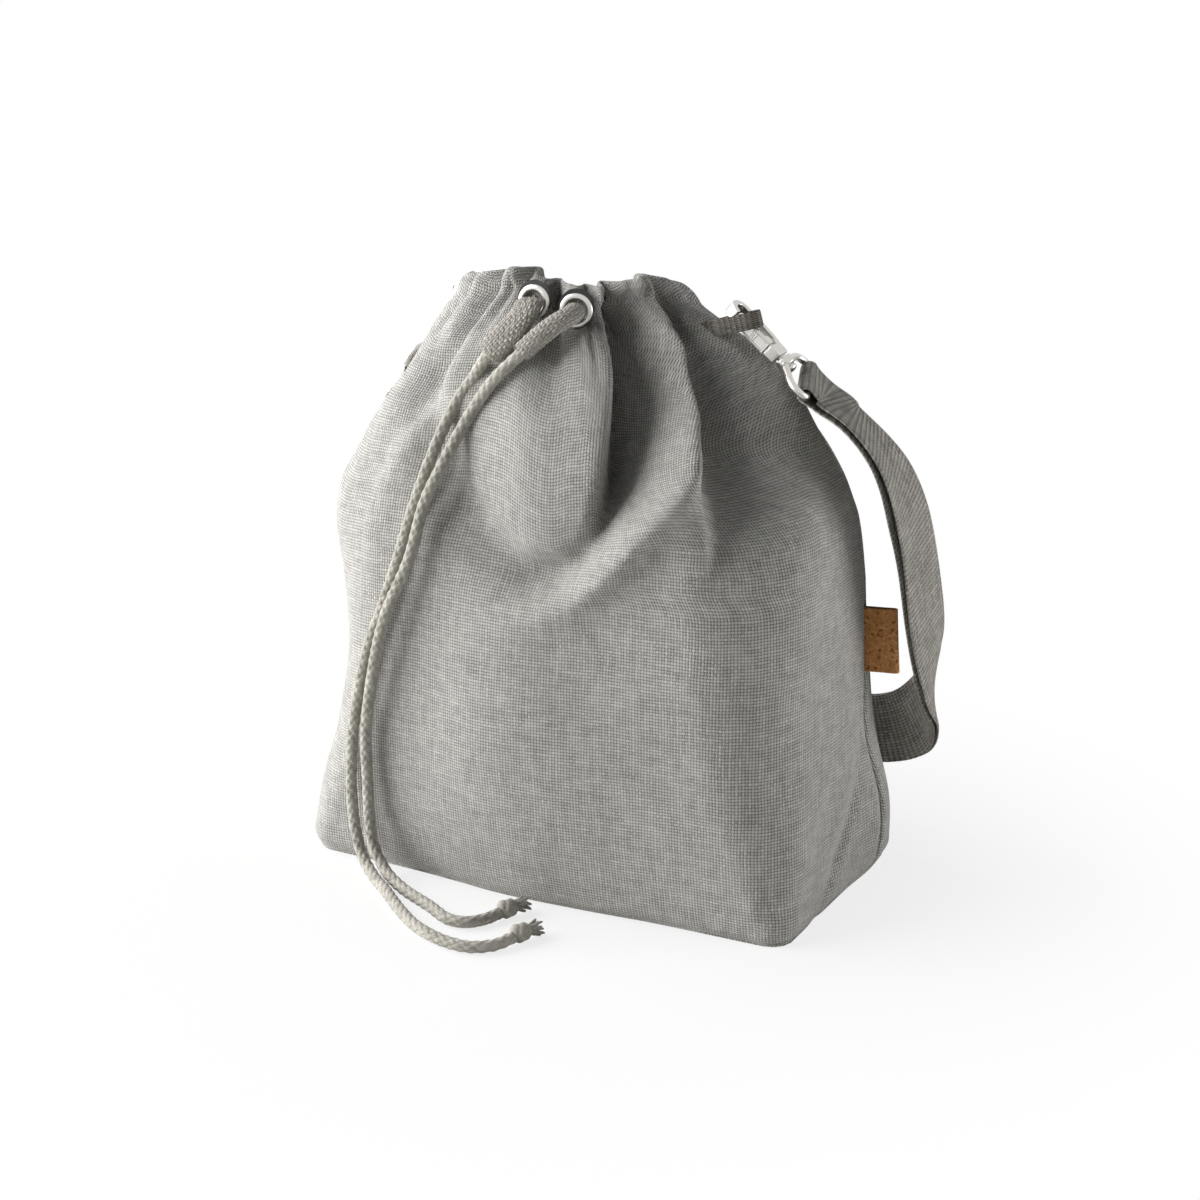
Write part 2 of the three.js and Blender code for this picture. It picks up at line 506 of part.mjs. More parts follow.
function hookBody() {
  const { half, stock, length } = HOOK;
  const outline = new THREE.Shape();
  outline.moveTo(5.4, -half);
  outline.absellipse(5, 0, 5, half, -Math.PI / 2, -Math.PI * 1.5, true);
  outline.lineTo(pinAt - 1.6, half);
  outline.lineTo(pinAt + 3.4, half - 1);
  outline.lineTo(length, half - 1);
  outline.lineTo(length, -half + 0.6);
  outline.lineTo(pinAt + 2.4, -half + 0.6);
  outline.lineTo(pinAt + 2.3, 1.2);
  outline.lineTo(pinAt - 0.1, half - stock);
  outline.lineTo(5, half - stock);
  outline.absellipse(5, 0, 5 - stock, half - stock, Math.PI / 2, Math.PI * 1.5, false);
  outline.lineTo(5.4, -half + stock);
  const tongue = new THREE.Shape([[-1.7, -0.9], [-1.7, -3.3], [3, -3.3], [3, -0.9]]
    .map(([x, y]) => new THREE.Vector2(pinAt + x, y)));
  const bore = rod(along(pinAt, -PIN.drop, -6), along(pinAt, -PIN.drop, 6), PIN.d + 2 * GAP);
  const socket = rod(along(length - 3), along(length + 2), POST.d + 2 * GAP);
  return cut(join(hookProfile(outline, HOOK.ply), hookProfile(tongue, 2.2)), bore, socket);
}

function hookGate() {
  const { half, gatePly, gateWidth } = HOOK;
  const rect = (s0, s1, y0, y1) => new THREE.Shape([[s0, y0], [s1, y0], [s1, y1], [s0, y1]]
    .map(([x, y]) => new THREE.Vector2(x, y)));
  const face = -half - 0.1;
  const plate = hookProfile(rect(5.9, pinAt + 1.8, face, face + gatePly), gateWidth);
  const cheeks = hookProfile(rect(pinAt - 2, pinAt + 1.8, face + 0.5, -0.9), gateWidth);
  const slot = hookProfile(rect(pinAt - 2.6, pinAt + 2.4, face + gatePly, 0), 2.2 + 2 * GAP);
  const bore = rod(along(pinAt, -PIN.drop, -6), along(pinAt, -PIN.drop, 6), PIN.d + 2 * GAP);
  return cut(join(plate, cheeks), slot, bore);
}

function swivelPost() {
  const { length } = HOOK;
  const r = POST.d / 2;
  const profile = [[0, length - 2.6], [r, length - 2.6], [r, POST_HEAD], [POST.head / 2, POST_HEAD],
    [POST.head / 2, POST_HEAD + 0.8], [POST.head / 4, POST_HEAD + POST.headLength], [0, POST_HEAD + POST.headLength]];
  const lathe = new THREE.LatheGeometry(profile.map(([x, y]) => new THREE.Vector2(x, y)), 16);
  return lathe.applyMatrix4(frameAt(FLAT, AXIS, ACROSS, NOSE));
}

function swivelRing(down, wide) {
  const face = wide.clone().cross(down);
  const { length, half } = RING;
  const path = [[0, 0], [0.3, 4], [2, 9.5], [4.4, half - 2], [7.4, half], [10.2, half - 0.1], [length, half - 1.5]];
  const right = path.slice(1);
  const points = [...path, ...right.slice().reverse().map(([s, w]) => [s, -w])];
  const centre = along(CROWN_AT);
  const loops = points.map(([s, w], i) => {
    const [before, after] = [points.at(i - 1), points[(i + 1) % points.length]];
    const t = new THREE.Vector2(after[0] - before[0], after[1] - before[1]).normalize();
    return Array.from({ length: 8 }, (_, k) => {
      const [c, q] = [(BAR / 2) * cos((TAU * k) / 8), (BAR / 2) * sin((TAU * k) / 8)];
      return centre.clone().addScaledVector(down, s - t.y * c).addScaledVector(wide, w + t.x * c)
        .addScaledVector(face, -q);
    });
  });
  const boss = rod(along(CROWN_AT - 1.8), along(CROWN_AT + 1.8), POST.d + 3.8);
  const bore = rod(along(CROWN_AT - 3), along(CROWN_AT + 3), POST.d + 2 * GAP);
  const room = rod(along(POST_HEAD - GAP), along(POST_HEAD + POST.headLength + 1), POST.head + 2 * GAP);
  return cut(join(stack(loops, true), boss), bore, room);
}

// A flat strip through stations {at, wide}, each a point with the direction of the strip's width
function strip(stations, width, thickness) {
  return stack(stations.map(({ at, wide }, i) => {
    const before = stations[max(i - 1, 0)].at;
    const after = stations[min(i + 1, stations.length - 1)].at;
    const proud = wide.clone().cross(after.clone().sub(before)).normalize();
    return [[-1, -1], [-1, 1], [1, 1], [1, -1]].map(([w, t]) => at.clone()
      .addScaledVector(wide, (w * width) / 2).addScaledVector(proud, (t * thickness) / 2));
  }));
}

// The tab's tape leaves the bag, loops round the gate of the hook and comes back
const TAPE_OUT = V(0.963, 0, 0.271);
const TAPE_WIDE = V(-0.271, 0, 0.963);
const upright = (tilt) => new THREE.Matrix4().makeRotationY(rad(-tilt));
function tabLoop(tilt) {
  const reach = 19.2;
  const arm = 4.4;
  const flatPath = [[-1, 1.6], [0.6, 1.6], [3.6, arm], [reach - arm, arm]];
  const arc = [30, 60, 90, 120, 150].map((deg) => [
    reach - arm + (arm - TAPE.ply / 2) * sin(rad(deg)), arm * cos(rad(deg)),
  ]);
  const path = [...flatPath, ...arc, ...flatPath.slice().reverse().map(([q, y]) => [q, -y])];
  const stations = path.map(([q, y]) => ({ at: V(0, y, 0).addScaledVector(TAPE_OUT, q), wide: TAPE_WIDE }));
  const room = block(-9, TAPE.pivotGap, -9, 9, -9, 9).applyMatrix4(upright(tilt));
  return cut(strip(stations, TAPE.width, TAPE.ply), room);
}

const rigs = {
  right: {
    root: V(52, -5.9, raise(227)), turn: 0, tilt: 0, depth: 9,
    down: V(0.673, 0.343, -0.656), wide: V(-0.33, 0.93, 0.15),
  },
  left: {
    root: V(-57, 9.3, raise(228.8)), turn: 165, tilt: 17, depth: 4,
    down: AXIS.clone(), wide: ACROSS.clone().negate(),
  },
};
const bars = {};
for (const [name, rig] of Object.entries(rigs)) {
  const place = new THREE.Matrix4().makeRotationZ(rad(rig.turn))
    .multiply(new THREE.Matrix4().makeRotationY(rad(rig.tilt))).setPosition(rig.root);
  rig.down.normalize();
  rig.wide.addScaledVector(rig.down, -rig.wide.dot(rig.down)).normalize();
  add(`tab_loop_${name}`, tabLoop(rig.tilt), WEBBING, place);
  const rootTape = [-rig.depth, 1].map((q) => ({ at: V(0, 0, 0).addScaledVector(TAPE_OUT, q), wide: TAPE_WIDE }));
  const cutter = strip([-40, 20].map((x) => V(x, 0, -1.2 * x - 17)).map((at) => ({ at, wide: V(0, 1, 0) })), 60, 18);
  const room = block(-TAPE.pivotGap, 9, -9, 9, -9, 9).applyMatrix4(upright(rig.tilt));
  add(`tab_root_${name}`, cut(strip(rootTape, TAPE.width, 2 * TAPE.ply + GAP), cutter, room), WEBBING, place);
  add(`hook_body_${name}`, hookBody(), NICKEL, place);
  add(`hook_gate_${name}`, hookGate(), NICKEL, place);
  const pinEnds = [-1, 1].map((t) => along(pinAt, -PIN.drop, (t * (HOOK.gateWidth + 0.2)) / 2));
  add(`hook_gate_pin_${name}`, rod(...pinEnds, PIN.d, 10), NICKEL, place);
  add(`swivel_post_${name}`, swivelPost(), NICKEL, place);
  add(`swivel_ring_${name}`, swivelRing(rig.down, rig.wide), NICKEL, place);
  const turnOnly = new THREE.Matrix4().extractRotation(place);
  bars[name] = {
    at: along(CROWN_AT).addScaledVector(rig.down, RING.length).applyMatrix4(place),
    down: rig.down.clone().applyMatrix4(turnOnly),
    wide: rig.wide.clone().applyMatrix4(turnOnly),
  };
}

// The middle line of the strap from the left ring, round behind the bag, to the right ring
const STRAP_BACK = { y: 78, z: 44 };
const straight = [-44, -22, 0, 22, 44, 62, 78].map((x) => [x, STRAP_BACK.y, STRAP_BACK.z]);
const STRAP_PATH = [[-101, 19.5, 183.5], [-110.5, 22.5, 170], [-113.5, 35, 147], [-113.5, 50, 118], [-103, 64, 88],
  [-86, 74, 62], [-66, 77.6, 46], ...straight, [93, 76.5, 44.5], [109.5, 68, 53], [117.1, 52, 82.6],
  [119.4, 38, 116.5], [119.7, 24, 152.8], [115.4, 12, 177.5], [104, 4, 195.4]];
const strapCurve = curve([bars.left.at, bars.left.at.clone().addScaledVector(bars.left.down, 8),
  ...STRAP_PATH.map(([x, y, z]) => V(x, y, z === STRAP_BACK.z ? z : raise(z))),
  bars.right.at.clone().addScaledVector(bars.right.down, 8), bars.right.at]);
const strapLength = strapCurve.getLength();

// The strap's width lies along each ring's bar, and upright behind the bag
function strapFrame(s) {
  const at = strapCurve.getPointAt(min(max(s / strapLength, 0), 1));
  const tangent = strapCurve.getTangentAt(min(max(s / strapLength, 0), 1));
  const share = (from, to) => {
    const f = min(max((s - from) / (to - from), 0), 1);
    return f * f * (3 - 2 * f);
  };
  const left = 1 - share(20, 150);
  const right = share(strapLength - 180, strapLength - 25);
  const wide = V(0, 0, 1).multiplyScalar(1 - left - right)
    .addScaledVector(bars.left.wide, -left).addScaledVector(bars.right.wide, right);
  wide.addScaledVector(tangent, -wide.dot(tangent)).normalize();
  return { at, tangent, wide, out: wide.clone().cross(tangent) };
}

const PLY_OFF = (WEB.ply + WEB.parting) / 2;
const WRAP = BAR / 2 + 2 * GAP + WEB.ply / 2;
const fromBar = (d) => PLY_OFF + (WRAP - PLY_OFF) * exp(-max(d, 0) / 7);

function plyStation(s, layer) {
  const { at, wide, out } = strapFrame(s);
  const off = layer * fromBar(min(s, strapLength - s));
  return { at: at.clone().addScaledVector(out, off), wide };
}

// Half a turn round a ring's bar, from one ply to the other
function barTurn(s, from, sign) {
  const { at, tangent, wide, out } = strapFrame(s);
  return [30, 60, 90, 120, 150].map((deg) => {
    const radial = out.clone().multiplyScalar(from * cos(rad(deg))).addScaledVector(tangent, sign * sin(rad(deg)));
    return { at: at.clone().addScaledVector(radial, WRAP), wide };
  });
}

const FIXED_X = 62; // where the doubled ply starts to run free towards the slider
const adjustFrom = (() => {
  let s = strapLength / 2;
  while (strapCurve.getPointAt(s / strapLength).x < FIXED_X) s += 0.1;
  return s;
})();
const steps = (from, to, step) => {
  const n = max(1, Math.round(abs(to - from) / step));
  return Array.from({ length: n + 1 }, (_, i) => from + ((to - from) * i) / n);
};
const webbing = [
  ...steps(WEB.fold, 0, 4).map((s) => plyStation(s, 1)),
  ...barTurn(0, 1, -1),
  ...steps(0, 16, 4).map((s) => plyStation(s, -1)),
  ...steps(26, strapLength - 26, 10).map((s) => plyStation(s, -1)),
  ...steps(strapLength - 16, strapLength, 4).map((s) => plyStation(s, -1)),
  ...barTurn(strapLength, -1, 1),
  ...steps(strapLength, strapLength - 16, 4).map((s) => plyStation(s, 1)),
  ...steps(strapLength - 26, adjustFrom, 10).map((s) => plyStation(s, 1)),
];
add('strap_webbing', strip(webbing, WEB.width, WEB.ply), WEBBING);

// The free ply ends in a loop sewn round the slider's middle bar
const plyY = STRAP_BACK.y + PLY_OFF;
const halfWeb = WEB.width / 2;
const loopR = 0.75 * SLIDER.bar + GAP + WEB.ply / 2;
const barY = plyY + loopR;
add('strap_adjust_run', block(SLIDER.x + 3 + GAP, FIXED_X - GAP, plyY - WEB.ply / 2, plyY + WEB.ply / 2,
  STRAP_BACK.z - halfWeb, STRAP_BACK.z + halfWeb), WEBBING);
const anchor = [V(3, plyY, 0), V(0, plyY, 0), ...[30, 60, 90, 120, 150].map(
  (deg) => V(-loopR * sin(rad(deg)), barY - loopR * cos(rad(deg)), 0),
), V(0, barY + loopR, 0), V(3, barY + loopR, 0)];
const anchorStations = anchor.map((p) => ({ at: p.clone().add(V(SLIDER.x, 0, STRAP_BACK.z)), wide: V(0, 0, 1) }));
add('slider_anchor_loop', strip(anchorStations, WEB.width, WEB.ply), WEBBING);

// Slider: the webbing passes in front of two bars, and the loop holds the third
const backY = STRAP_BACK.y - PLY_OFF - WEB.ply / 2 - GAP - SLIDER.bar;
const railZ = halfWeb + 0.8;
const sliderBar = (x, y) => block(x - SLIDER.bar / 2, x + SLIDER.bar / 2, y, y + SLIDER.bar, -railZ - 1, railZ + 1);
const rail = (z) => block(-SLIDER.half, SLIDER.half, backY, barY + SLIDER.bar / 2, z, z + 2);
const frame = join(rail(railZ), rail(-railZ - 2), sliderBar(-SLIDER.pitch, backY), sliderBar(SLIDER.pitch, backY),
  sliderBar(0, barY - SLIDER.bar / 2));
add('strap_slider', frame.translate(SLIDER.x, 0, STRAP_BACK.z), NICKEL);

export default group;
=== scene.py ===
"""Insulated drawstring lunch bag with a clip-on webbing strap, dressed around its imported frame.

Lengths are millimetres until a mesh is made. Z is up, and the front of the bag faces -Y.
"""

import logging
import math
from dataclasses import dataclass
from enum import Enum
from typing import Any, Callable, Sequence

import bpy
import numpy as np
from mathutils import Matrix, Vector


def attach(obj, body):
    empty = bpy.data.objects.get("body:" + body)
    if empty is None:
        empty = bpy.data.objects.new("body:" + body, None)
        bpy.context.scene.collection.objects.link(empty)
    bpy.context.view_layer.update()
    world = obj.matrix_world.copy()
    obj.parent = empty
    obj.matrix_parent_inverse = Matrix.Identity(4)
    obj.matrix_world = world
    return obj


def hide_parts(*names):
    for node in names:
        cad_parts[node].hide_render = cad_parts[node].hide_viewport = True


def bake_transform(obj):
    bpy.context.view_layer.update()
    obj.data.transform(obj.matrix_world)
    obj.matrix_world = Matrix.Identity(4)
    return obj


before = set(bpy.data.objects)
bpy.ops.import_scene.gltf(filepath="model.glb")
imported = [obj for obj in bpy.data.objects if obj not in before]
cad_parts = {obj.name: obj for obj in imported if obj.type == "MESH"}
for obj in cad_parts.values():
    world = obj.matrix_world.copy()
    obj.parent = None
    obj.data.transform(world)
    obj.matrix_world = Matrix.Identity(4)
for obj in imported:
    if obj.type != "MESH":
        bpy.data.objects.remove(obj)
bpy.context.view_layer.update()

log = logging.getLogger("lunch_bag")

MM = 0.001
TAU = 2 * math.pi
UV_NAME = "cloth"
SHARP_EDGE = 32.0  # metal edges that turn more than this many degrees are rounded
UP = np.array([0.0, 0.0, 1.0])
ACROSS = np.array([0.0, 1.0, 0.0])  # to the back of the bag, and from a hook's gate to its back
Array = np.ndarray
Knots = Sequence[Sequence[float]]
Pair = tuple[float, float]
Triple = tuple[float, float, float]
Object = bpy.types.Object
Tree = bpy.types.NodeTree
Node = bpy.types.Node


# Small tools


def linear(code: str) -> tuple[float, float, float, float]:
    """Turns an sRGB hex colour into linear RGBA.

    Args:
        code: Six hex digits, such as "a0b1c2".

    Returns:
        The colour with an alpha of 1.
    """
    parts = [int(code[i : i + 2], 16) / 255 for i in (0, 2, 4)]
    toned = [c / 12.92 if c <= 0.04045 else ((c + 0.055) / 1.055) ** 2.4 for c in parts]
    return (toned[0], toned[1], toned[2], 1.0)


def feed(tree: Tree, node: Node, inputs: dict) -> None:
    """Sets the inputs of a node.

    Args:
        tree: The node tree that holds it.
        node: The node.
        inputs: Socket name or index to a value, a node or an output socket.
    """
    for key, value in inputs.items():
        source = value.outputs[0] if isinstance(value, Node) else value
        if isinstance(source, bpy.types.NodeSocket):
            tree.links.new(source, node.inputs[key])
        else:
            node.inputs[key].default_value = source


def add_node(tree: Tree, kind: str, inputs: dict | None = None, **settings: Any) -> Node:
    """Adds one shader node with its settings, values and links.

    Args:
        tree: The node tree it goes into.
        kind: The node type without its ShaderNode prefix.
        inputs: Socket name or index to a value, a node or an output socket.
        settings: Attributes of the node.

    Returns:
        The node.
    """
    node = tree.nodes.new("ShaderNode" + kind)
    for name, value in settings.items():
        setattr(node, name, value)
    feed(tree, node, inputs or {})
    return node


def bare_tree(holder: bpy.types.Material | bpy.types.World) -> Tree:
    """Gives the node tree of a material or a world, emptied.

    Args:
        holder: The material or world.

    Returns:
        Its nodes.
    """
    holder.use_nodes = True
    holder.node_tree.nodes.clear()
    return holder.node_tree


def add_object(name: str, data: bpy.types.ID) -> Object:
    """Adds an object to the scene.

    Args:
        name: Its name.
        data: Its mesh, lamp or camera.

    Returns:
        The object.
    """
    made = bpy.data.objects.new(name, data)
    bpy.context.scene.collection.objects.link(made)
    return made


def unit(v: Array) -> Array:
    """Scales vectors along the last axis to length 1."""
    return v / np.maximum(np.linalg.norm(v, axis=-1, keepdims=True), 1e-12)


def full_turn(sides: int) -> Array:
    """Spreads angles evenly round a full turn."""
    return np.linspace(0, TAU, sides, endpoint=False)


def blunt(x: Array, power: float) -> Array:
    """Raises sines or cosines to a power and keeps their sign, to square a round section."""
    return np.sign(x) * np.abs(x) ** power


def marks_along(points: Array, axis: int = 0) -> Array:
    """Measures how far along its rows or columns each point of a line or grid lies.

    Args:
        points: The line or grid.
        axis: 0 to measure along the columns, 1 along the rows.

    Returns:
        Distances from the first point.
    """
    steps = np.linalg.norm(np.diff(points, axis=axis), axis=-1)
    start = np.zeros_like(np.take(steps, [0], axis=axis))
    return np.concatenate([start, np.cumsum(steps, axis=axis)], axis=axis)


def ring_of(angle: Array, first: Array, second: Array) -> Array:
    """Gives unit rings round a line.

    Args:
        angle: Angles of the ring's points.
        first: Directions at angle 0, one for each point of the line or one for all.
        second: Directions at a quarter turn.

    Returns:
        Rings by angles by 3.
    """
    first, second = (np.atleast_2d(v)[:, None] for v in (first, second))
    return np.cos(angle)[None, :, None] * first + np.sin(angle)[None, :, None] * second


def sweep(centre: Array, wide: Array, proud: Array, x: Array, y: Array) -> Array:
    """Carries a section along a line.

    Args:
        centre: Points of the line.
        wide: The section's first direction, at each point or one for all.
        proud: Its second direction.
        x: Places along the first, for one section or for each.
        y: Places along the second.

    Returns:
        Sections by places by 3.
    """
    wide, proud, x, y = (np.atleast_2d(v) for v in (wide, proud, x, y))
    return centre[:, None] + x[..., None] * wide[:, None] + y[..., None] * proud[:, None]


def smooth(x: Array | float, low: float = 0.0, high: float = 1.0) -> Array:
    """Rises smoothly from 0 at low to 1 at high."""
    f = np.clip((np.asarray(x, float) - low) / (high - low), 0, 1)
    return f * f * (3 - 2 * f)


def soft(knots: Knots) -> Callable[[Array], Array]:
    """Makes a smooth curve through knots that never leaves their range.

    Args:
        knots: Pairs of place and value, in order of place.

    Returns:
        A function of an array of places.
    """
    at, value = np.array(knots, float).T
    d = np.diff(value) / np.diff(at)
    same = d[:-1] * d[1:] > 0
    inner = np.where(same, 2 * d[:-1] * d[1:] / np.where(same, d[:-1] + d[1:], 1), 0)
    slope = np.concatenate([[d[0]], inner, [d[-1]]])

    def curve(x: Array) -> Array:
        """Reads the curve.

        Args:
            x: Places.

        Returns:
            Values.
        """
        t = np.clip(x, at[0], at[-1])
        i = np.clip(np.searchsorted(at, t, side="right") - 1, 0, len(at) - 2)
        h = at[i + 1] - at[i]
        f = (t - at[i]) / h
        low = (1 + 2 * f) * (1 - f) ** 2 * value[i] + f * (1 - f) ** 2 * h * slope[i]
        return low + f * f * (3 - 2 * f) * value[i + 1] - f * f * (1 - f) * h * slope[i + 1]

    return curve


class Path:
    """A smooth line through points, measured along its length."""

    def __init__(self, knots: Knots, dense: int = 24) -> None:
        """Samples a centripetal curve through the knots.

        Args:
            knots: Points in millimetres.
            dense: Samples between two knots.
        """
        p = np.array([tuple(k) for k in knots], float)
        p = np.vstack([2 * p[0] - p[1], p, 2 * p[-1] - p[-2]])
        f = np.linspace(0, 1, dense, endpoint=False)[:, None]
        parts = []
        for a, b, c, d in zip(p[:-3], p[1:-2], p[2:-1], p[3:]):
            t0, t1, t2 = (max(np.linalg.norm(q - r), 1e-6) ** 0.5 for q, r in ((b, a), (c, b), (d, c)))
            leave = ((b - a) / t0 - (c - a) / (t0 + t1) + (c - b) / t1) * t1
            arrive = ((c - b) / t1 - (d - b) / (t1 + t2) + (d - c) / t2) * t1
            square = 3 * (c - b) - 2 * leave - arrive
            cube = 2 * (b - c) + leave + arrive
            parts.append(b + leave * f + square * f**2 + cube * f**3)
        self.points = np.vstack([*parts, p[-2:-1]])
        self.marks = marks_along(self.points)
        self.length = float(self.marks[-1])

    def at(self, s: Array | float) -> Array:
        """Gives the points at distances along the path."""
        s = np.clip(np.asarray(s, float), 0, self.length)
        return np.stack([np.interp(s, self.marks, self.points[:, k]) for k in range(3)], -1)

    def tangent(self, s: Array | float, step: float = 0.6) -> Array:
        """Gives the directions of travel at distances along the path."""
        s = np.asarray(s, float)
        return unit(self.at(np.minimum(s + step, self.length)) - self.at(np.maximum(s - step, 0)))


def transport(tangents: Array, start: Array) -> tuple[Array, Array]:
    """Carries a pair of side directions along a path without twist.

    Args:
        tangents: Unit directions of travel.
        start: A direction that the first side vector leans towards.

    Returns:
        Two arrays of unit vectors, square to each other and to the path.
    """
    sides = []
    side = start
    for t in tangents:
        side = unit(side - t * (side @ t))
        sides.append(side)
    first = np.array(sides)
    return first, np.cross(tangents, first)


def arc(centre: Pair, radii: Pair, start: float, end: float, steps: int) -> list[Pair]:
    """Draws part of an ellipse.

    Args:
        centre: Its middle.
        radii: Its half sizes.
        start: First angle in degrees.
        end: Last angle in degrees.
        steps: Points along it.

    Returns:
        Points in the plane.
    """
    angles = np.radians(np.linspace(start, end, steps))
    return [(centre[0] + radii[0] * math.cos(a), centre[1] + radii[1] * math.sin(a)) for a in angles]


def box(x0: float, x1: float, y0: float, y1: float, corner: float) -> list[Pair]:
    """Draws a rectangle with rounded corners.

    Args:
        x0: Its left side.
        x1: Its right side.
        y0: Its lower side.
        y1: Its upper side.
        corner: Radius of its corners.

    Returns:
        Its outline, counter-clockwise.
    """
    points: list[Pair] = []
    for x, y, deg in ((x1, y0, -90), (x1, y1, 0), (x0, y1, 90), (x0, y0, 180)):
        centre = (x + (corner if x == x0 else -corner), y + (corner if y == y0 else -corner))
        points += arc(centre, (corner, corner), deg, deg + 90, 6)
    return points


class Skin:
    """A mesh gathered from grids of points, with thread coordinates."""

    def __init__(self) -> None:
        """Starts empty."""
        self.points: list[Array] = []
        self.faces: list[list[int]] = []
        self.uvs: list[Pair] = []
        self.count = 0

    def grid(self, points: Array, uv: Array | None = None, wrap: bool = False, caps: bool = False,
             flip: bool = False) -> "Skin":
        """Adds a sheet or a tube.

        Args:
            points: Rows by columns by 3, in millimetres.
            uv: Rows by columns by 2 in millimetres, with one more column where the grid wraps.
            wrap: True if the last column joins the first.
            caps: True if a wrapped grid is closed at both ends.
            flip: True if the faces turn the other way.

        Returns:
            The skin.
        """
        rows, cols = points.shape[:2]
        if uv is None:
            ring = np.vstack([points[rows // 2], points[rows // 2][:1]])
            across = marks_along(ring)[: cols + wrap]
            uv = np.stack(np.meshgrid(across, marks_along(points[:, 0])), -1)
        base = self.count
        self.points.append(points.reshape(-1, 3))
        self.count += rows * cols
        order = (0, 3, 2, 1) if flip else (0, 1, 2, 3)
        i, j = (a.ravel() for a in np.indices((rows - 1, cols if wrap else cols - 1)))
        k = (j + 1) % cols
        corners = np.stack([i * cols + j, i * cols + k, (i + 1) * cols + k, (i + 1) * cols + j], 1) + base
        spots = np.stack([uv[i, j], uv[i, j + 1], uv[i + 1, j + 1], uv[i + 1, j]], 1)
        self.faces.extend(corners[:, order].tolist())
        self.uvs.extend(spots[:, order].reshape(-1, 2).tolist())
        if caps:
            for row, turned in ((0, not flip), (rows - 1, flip)):
                ring = [base + row * cols + c for c in range(cols)]
                spot = [tuple(uv[row, c]) for c in range(cols)]
                self.faces.append(ring[::-1] if turned else ring)
                self.uvs.extend(spot[::-1] if turned else spot)
        return self

    def tube(self, centre: Array, radius: Array | float, start: Array = UP, sides: int = 12) -> "Skin":
        """Adds a closed round bar along a line.

        Args:
            centre: Points of its middle line.
            radius: Its radius at each point, or one for all.
            start: A direction that its first side leans towards.
            sides: Faces round it.

        Returns:
            The skin.
        """
        first, second = transport(unit(np.gradient(centre, axis=0)), start)
        reach = np.broadcast_to(radius, len(centre))[:, None, None]
        ring = ring_of(full_turn(sides), first, second)
        return self.grid(centre[:, None] + reach * ring, wrap=True, caps=True)

    def lathe(self, profile: Knots, origin: Array, axes: Sequence[Array], sides: int,
              **closing: bool) -> "Skin":
        """Adds a profile turned round an axis.

        Args:
            profile: Pairs of distance along the axis and radius.
            origin: Where the axis starts.
            axes: Two directions square to the axis, and the axis.
            sides: Faces round it.
            closing: Whether its ends are capped and its faces flipped, as for a grid.

        Returns:
            The skin.
        """
        first, second, axis = axes
        ring = ring_of(full_turn(sides), first, second)[0]
        return self.grid(np.array([origin + axis * s + r * ring for s, r in profile]), wrap=True, **closing)

    def pressed(self, outline: Knots, thickness: float, at: float = 0.0) -> "Skin":
        """Adds a plate cut to an outline, lying flat in its own x and y.

        Args:
            outline: Its corners, counter-clockwise.
            thickness: Its thickness.
            at: Height of its middle.

        Returns:
            The skin.
        """
        ring = np.array(outline, float)
        faces = [at - thickness / 2, at + thickness / 2]
        rows = [np.column_stack([ring, np.full(len(ring), face)]) for face in faces]
        return self.grid(np.array(rows), wrap=True, caps=True)

    def move(self, matrix: Array) -> "Skin":
        """Moves all the points by a 4 by 4 matrix in millimetres."""
        self.points = [p @ matrix[:3, :3].T + matrix[:3, 3] for p in self.points]
        return self

    def join(self, other: "Skin") -> "Skin":
        """Adds another mesh to this one.

        Args:
            other: The mesh.

        Returns:
            The skin.
        """
        self.points += other.points
        self.faces += [[corner + self.count for corner in face] for face in other.faces]
        self.uvs += other.uvs
        self.count += other.count
        return self

    def build(self, name: str, finish: "Finish", sharp: float = 40.0) -> Object:
        """Makes the Blender object.

        Args:
            name: The piece's name.
            finish: What it is made of.
            sharp: Edges that turn more than this many degrees stay crisp.

        Returns:
            The object, linked to the scene.
        """
        mesh = bpy.data.meshes.new(name)
        mesh.from_pydata((np.vstack(self.points) * MM).tolist(), [], self.faces)
        mesh.uv_layers.new(name=UV_NAME).uv.foreach_set("vector", (np.array(self.uvs) * MM).ravel())
        mesh.materials.append(finish.material())
        mesh.polygons.foreach_set("use_smooth", [True] * len(mesh.polygons))
        mesh.set_sharp_from_angle(angle=math.radians(sharp))
        return add_object(name, mesh)


def solidify(piece: Object, thickness: float) -> None:
    """Gives a sheet its thickness, behind the face that shows.

    Args:
        piece: The sheet.
        thickness: Its thickness.
    """
    made = piece.modifiers.new("thickness", "SOLIDIFY")
    made.thickness = thickness * MM
    made.offset = -1.0


def bevel(piece: Object, width: float, segments: int = 3) -> None:
    """Rounds the edges of a pressed or cast piece.

    Args:
        piece: The piece.
        width: Width of the rounding.
        segments: Faces across it.
    """
    made = piece.modifiers.new("rounded_edges", "BEVEL")
    made.width = width * MM
    made.segments = segments
    made.limit_method = "ANGLE"
    made.angle_limit = math.radians(SHARP_EDGE)
    made.harden_normals = True


def settle(piece: Object, body: str, nodes: Sequence[str]) -> Object:
    """Hangs a piece on its body and lets it stand for its solids.

    Args:
        piece: The finished object.
        body: The body that carries it.
        nodes: Names of the solids that it replaces.

    Returns:
        The piece.
    """
    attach(piece, body)
    if nodes:
        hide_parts(*nodes)
    log.info("made %s", piece.name)
    return piece


def frame_of(axes: Sequence[Array], origin: Array) -> Array:
    """Makes a 4 by 4 matrix from three axes and an origin.

    Args:
        axes: Three unit vectors.
        origin: The place of its origin.

    Returns:
        The matrix.
    """
    made = np.eye(4)
    made[:3, :3] = np.stack(axes, 1)
    made[:3, 3] = origin
    return made


# Finishes


